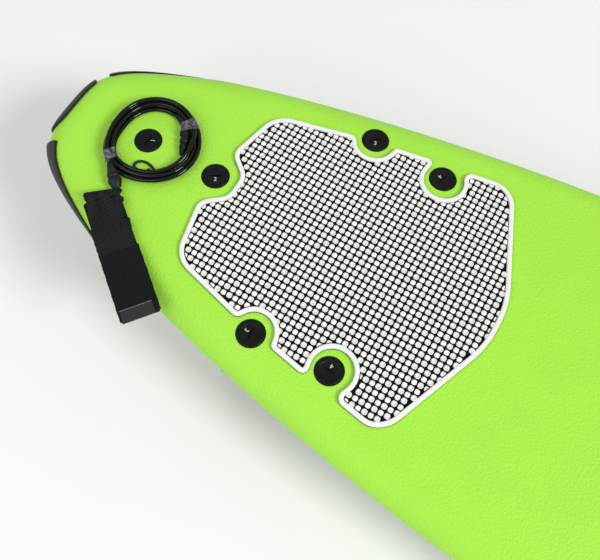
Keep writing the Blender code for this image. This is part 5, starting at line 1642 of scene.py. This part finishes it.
def build_cuff():
    low = GAP + CUFF_PAD_THICKNESS
    ends = (PADDING_FROM, CUFF_LENGTH - PADDING_END_SHORT)
    sides = (CUFF_RIGHT + PADDING_SIDE_SHORT, CUFF_LEFT - PADDING_SIDE_SHORT)
    data = strip("cuff_padding", ends, (GAP, low), sides, *PADDING_CUT, padding_relief)
    padding = add("cuff_padding", data, neoprene(), ["cuff_pad"])

    woven = webbing()
    low += GAP
    sides = (WEBBING_MIDDLE - WEBBING_HALF_WIDTH, WEBBING_MIDDLE + WEBBING_HALF_WIDTH)
    data = strip("cuff_webbing_loop", (WEBBING_FROM, WEBBING_TO), (low, low + WEBBING_THICKNESS),
                 sides, *WOVEN_CUT, webbing_relief, webbing_sway, WEBBING_SKEW, WEBBING_SHIFT)
    add("cuff_webbing_loop", data, woven, ["cuff_webbing"])

    heights, sides = (low, low + FLAP_THICKNESS), (CUFF_RIGHT, CUFF_LEFT)
    data = strip("cuff_flap_woven", (WEBBING_TO + 2 * GAP, RIBBED_TO), heights, sides,
                 *WOVEN_CUT, ribbed_relief, ribbed_sway)
    add("cuff_flap_woven", data, woven, ["cuff_flap_ribbed"], "cuff_flap")
    data = strip("cuff_flap_nap", (RIBBED_TO + GAP, CUFF_LENGTH), heights, sides,
                 *NAP_CUT, nap_relief, nap_sway)
    add("cuff_flap_nap", data, hook_and_loop(), ["cuff_flap"], "cuff_flap")
    build_tab(low + FLAP_THICKNESS + GAP)


# Solids that show as they are


def dress(look, *nodes):
    for node in nodes:
        piece = frame["nodes"][node]
        piece.data.materials.clear()
        piece.data.materials.append(look)


def dress_solids():
    labels = list(bolt_places())
    dress(bead_foam(), "core_left", "core_centre", "core_right")
    dress(plywood(), "stringer_left", "stringer_right")
    dress(plain_look("washer_rubber"), *["washer_" + label for label in labels])
    dress(plain_look("sleeve_plastic"), *["sleeve_" + label for label in labels])
    dress(insert_brass(), *["insert_" + label for label in labels])
    dress(plain_look("fin_plastic"), "fin_centre", "fin_left", "fin_right")
    dress(bpy.data.materials["bolt_plastic"], "leash_plug_cup")
    dress(drawn_steel(), "leash_plug_bar", "board_swivel_pin", "cuff_swivel_pin")


# Floor, light and camera


def build_camera():
    right, back = Vector(CAMERA_RIGHT), Vector(CAMERA_BACK)
    turn = Matrix((right, back.cross(right), back)).transposed().to_4x4()
    lens = bpy.data.cameras.new("camera")
    lens.sensor_width = SENSOR_WIDTH
    lens.lens = FOCAL_LENGTH
    lens.clip_start = CLIP_START
    camera = bpy.data.objects.new("camera", lens)
    bpy.context.scene.collection.objects.link(camera)
    camera.matrix_world = BOARD @ Matrix.Translation(CAMERA_PLACE) @ turn
    bpy.context.scene.camera = camera


def build_floor():
    half = FLOOR_HALF
    corners = [(-half, -half, 0.0), (half, -half, 0.0), (half, half, 0.0), (-half, half, 0.0)]
    data = mesh("floor", corners, [(0, 1, 2, 3)], outward=False)
    data.materials.append(plain_look("floor_paint"))
    floor = bpy.data.objects.new("floor", data)
    bpy.context.scene.collection.objects.link(floor)


def build_light():
    world = bpy.data.worlds.new("studio")
    world.use_nodes = True
    background = world.node_tree.nodes["Background"]
    background.inputs["Color"].default_value = (1.0, 1.0, 1.0, 1.0)
    background.inputs["Strength"].default_value = WORLD_STRENGTH
    bpy.context.scene.world = world
    aim = BOARD @ Vector((BOLT_1_X + LIGHT_AIM_AHEAD, 0.0, 0.0))
    for name, (azimuth, elevation, distance, size, power) in LIGHTS.items():
        data = bpy.data.lights.new(name, "AREA")
        data.energy = power
        data.size = size
        lamp = bpy.data.objects.new(name, data)
        bpy.context.scene.collection.objects.link(lamp)
        turn, rise = math.radians(azimuth), math.radians(elevation)
        level = math.cos(rise)
        towards = Vector((math.cos(turn) * level, math.sin(turn) * level, math.sin(rise)))
        towards = BOARD.to_3x3() @ towards
        lamp.location = aim + towards * distance
        lamp.rotation_euler = towards.to_track_quat("Z", "Y").to_euler()
    bpy.context.scene.view_settings.view_transform = "Standard"


def main():
    build_camera()
    build_cord()
    build_strap()
    build_string()
    build_cuff()
    build_tapes()
    build_skins()
    build_bumpers()
    build_bolts()
    build_pad()
    dress_solids()
    build_floor()
    build_light()
    bpy.context.view_layer.update()


main()
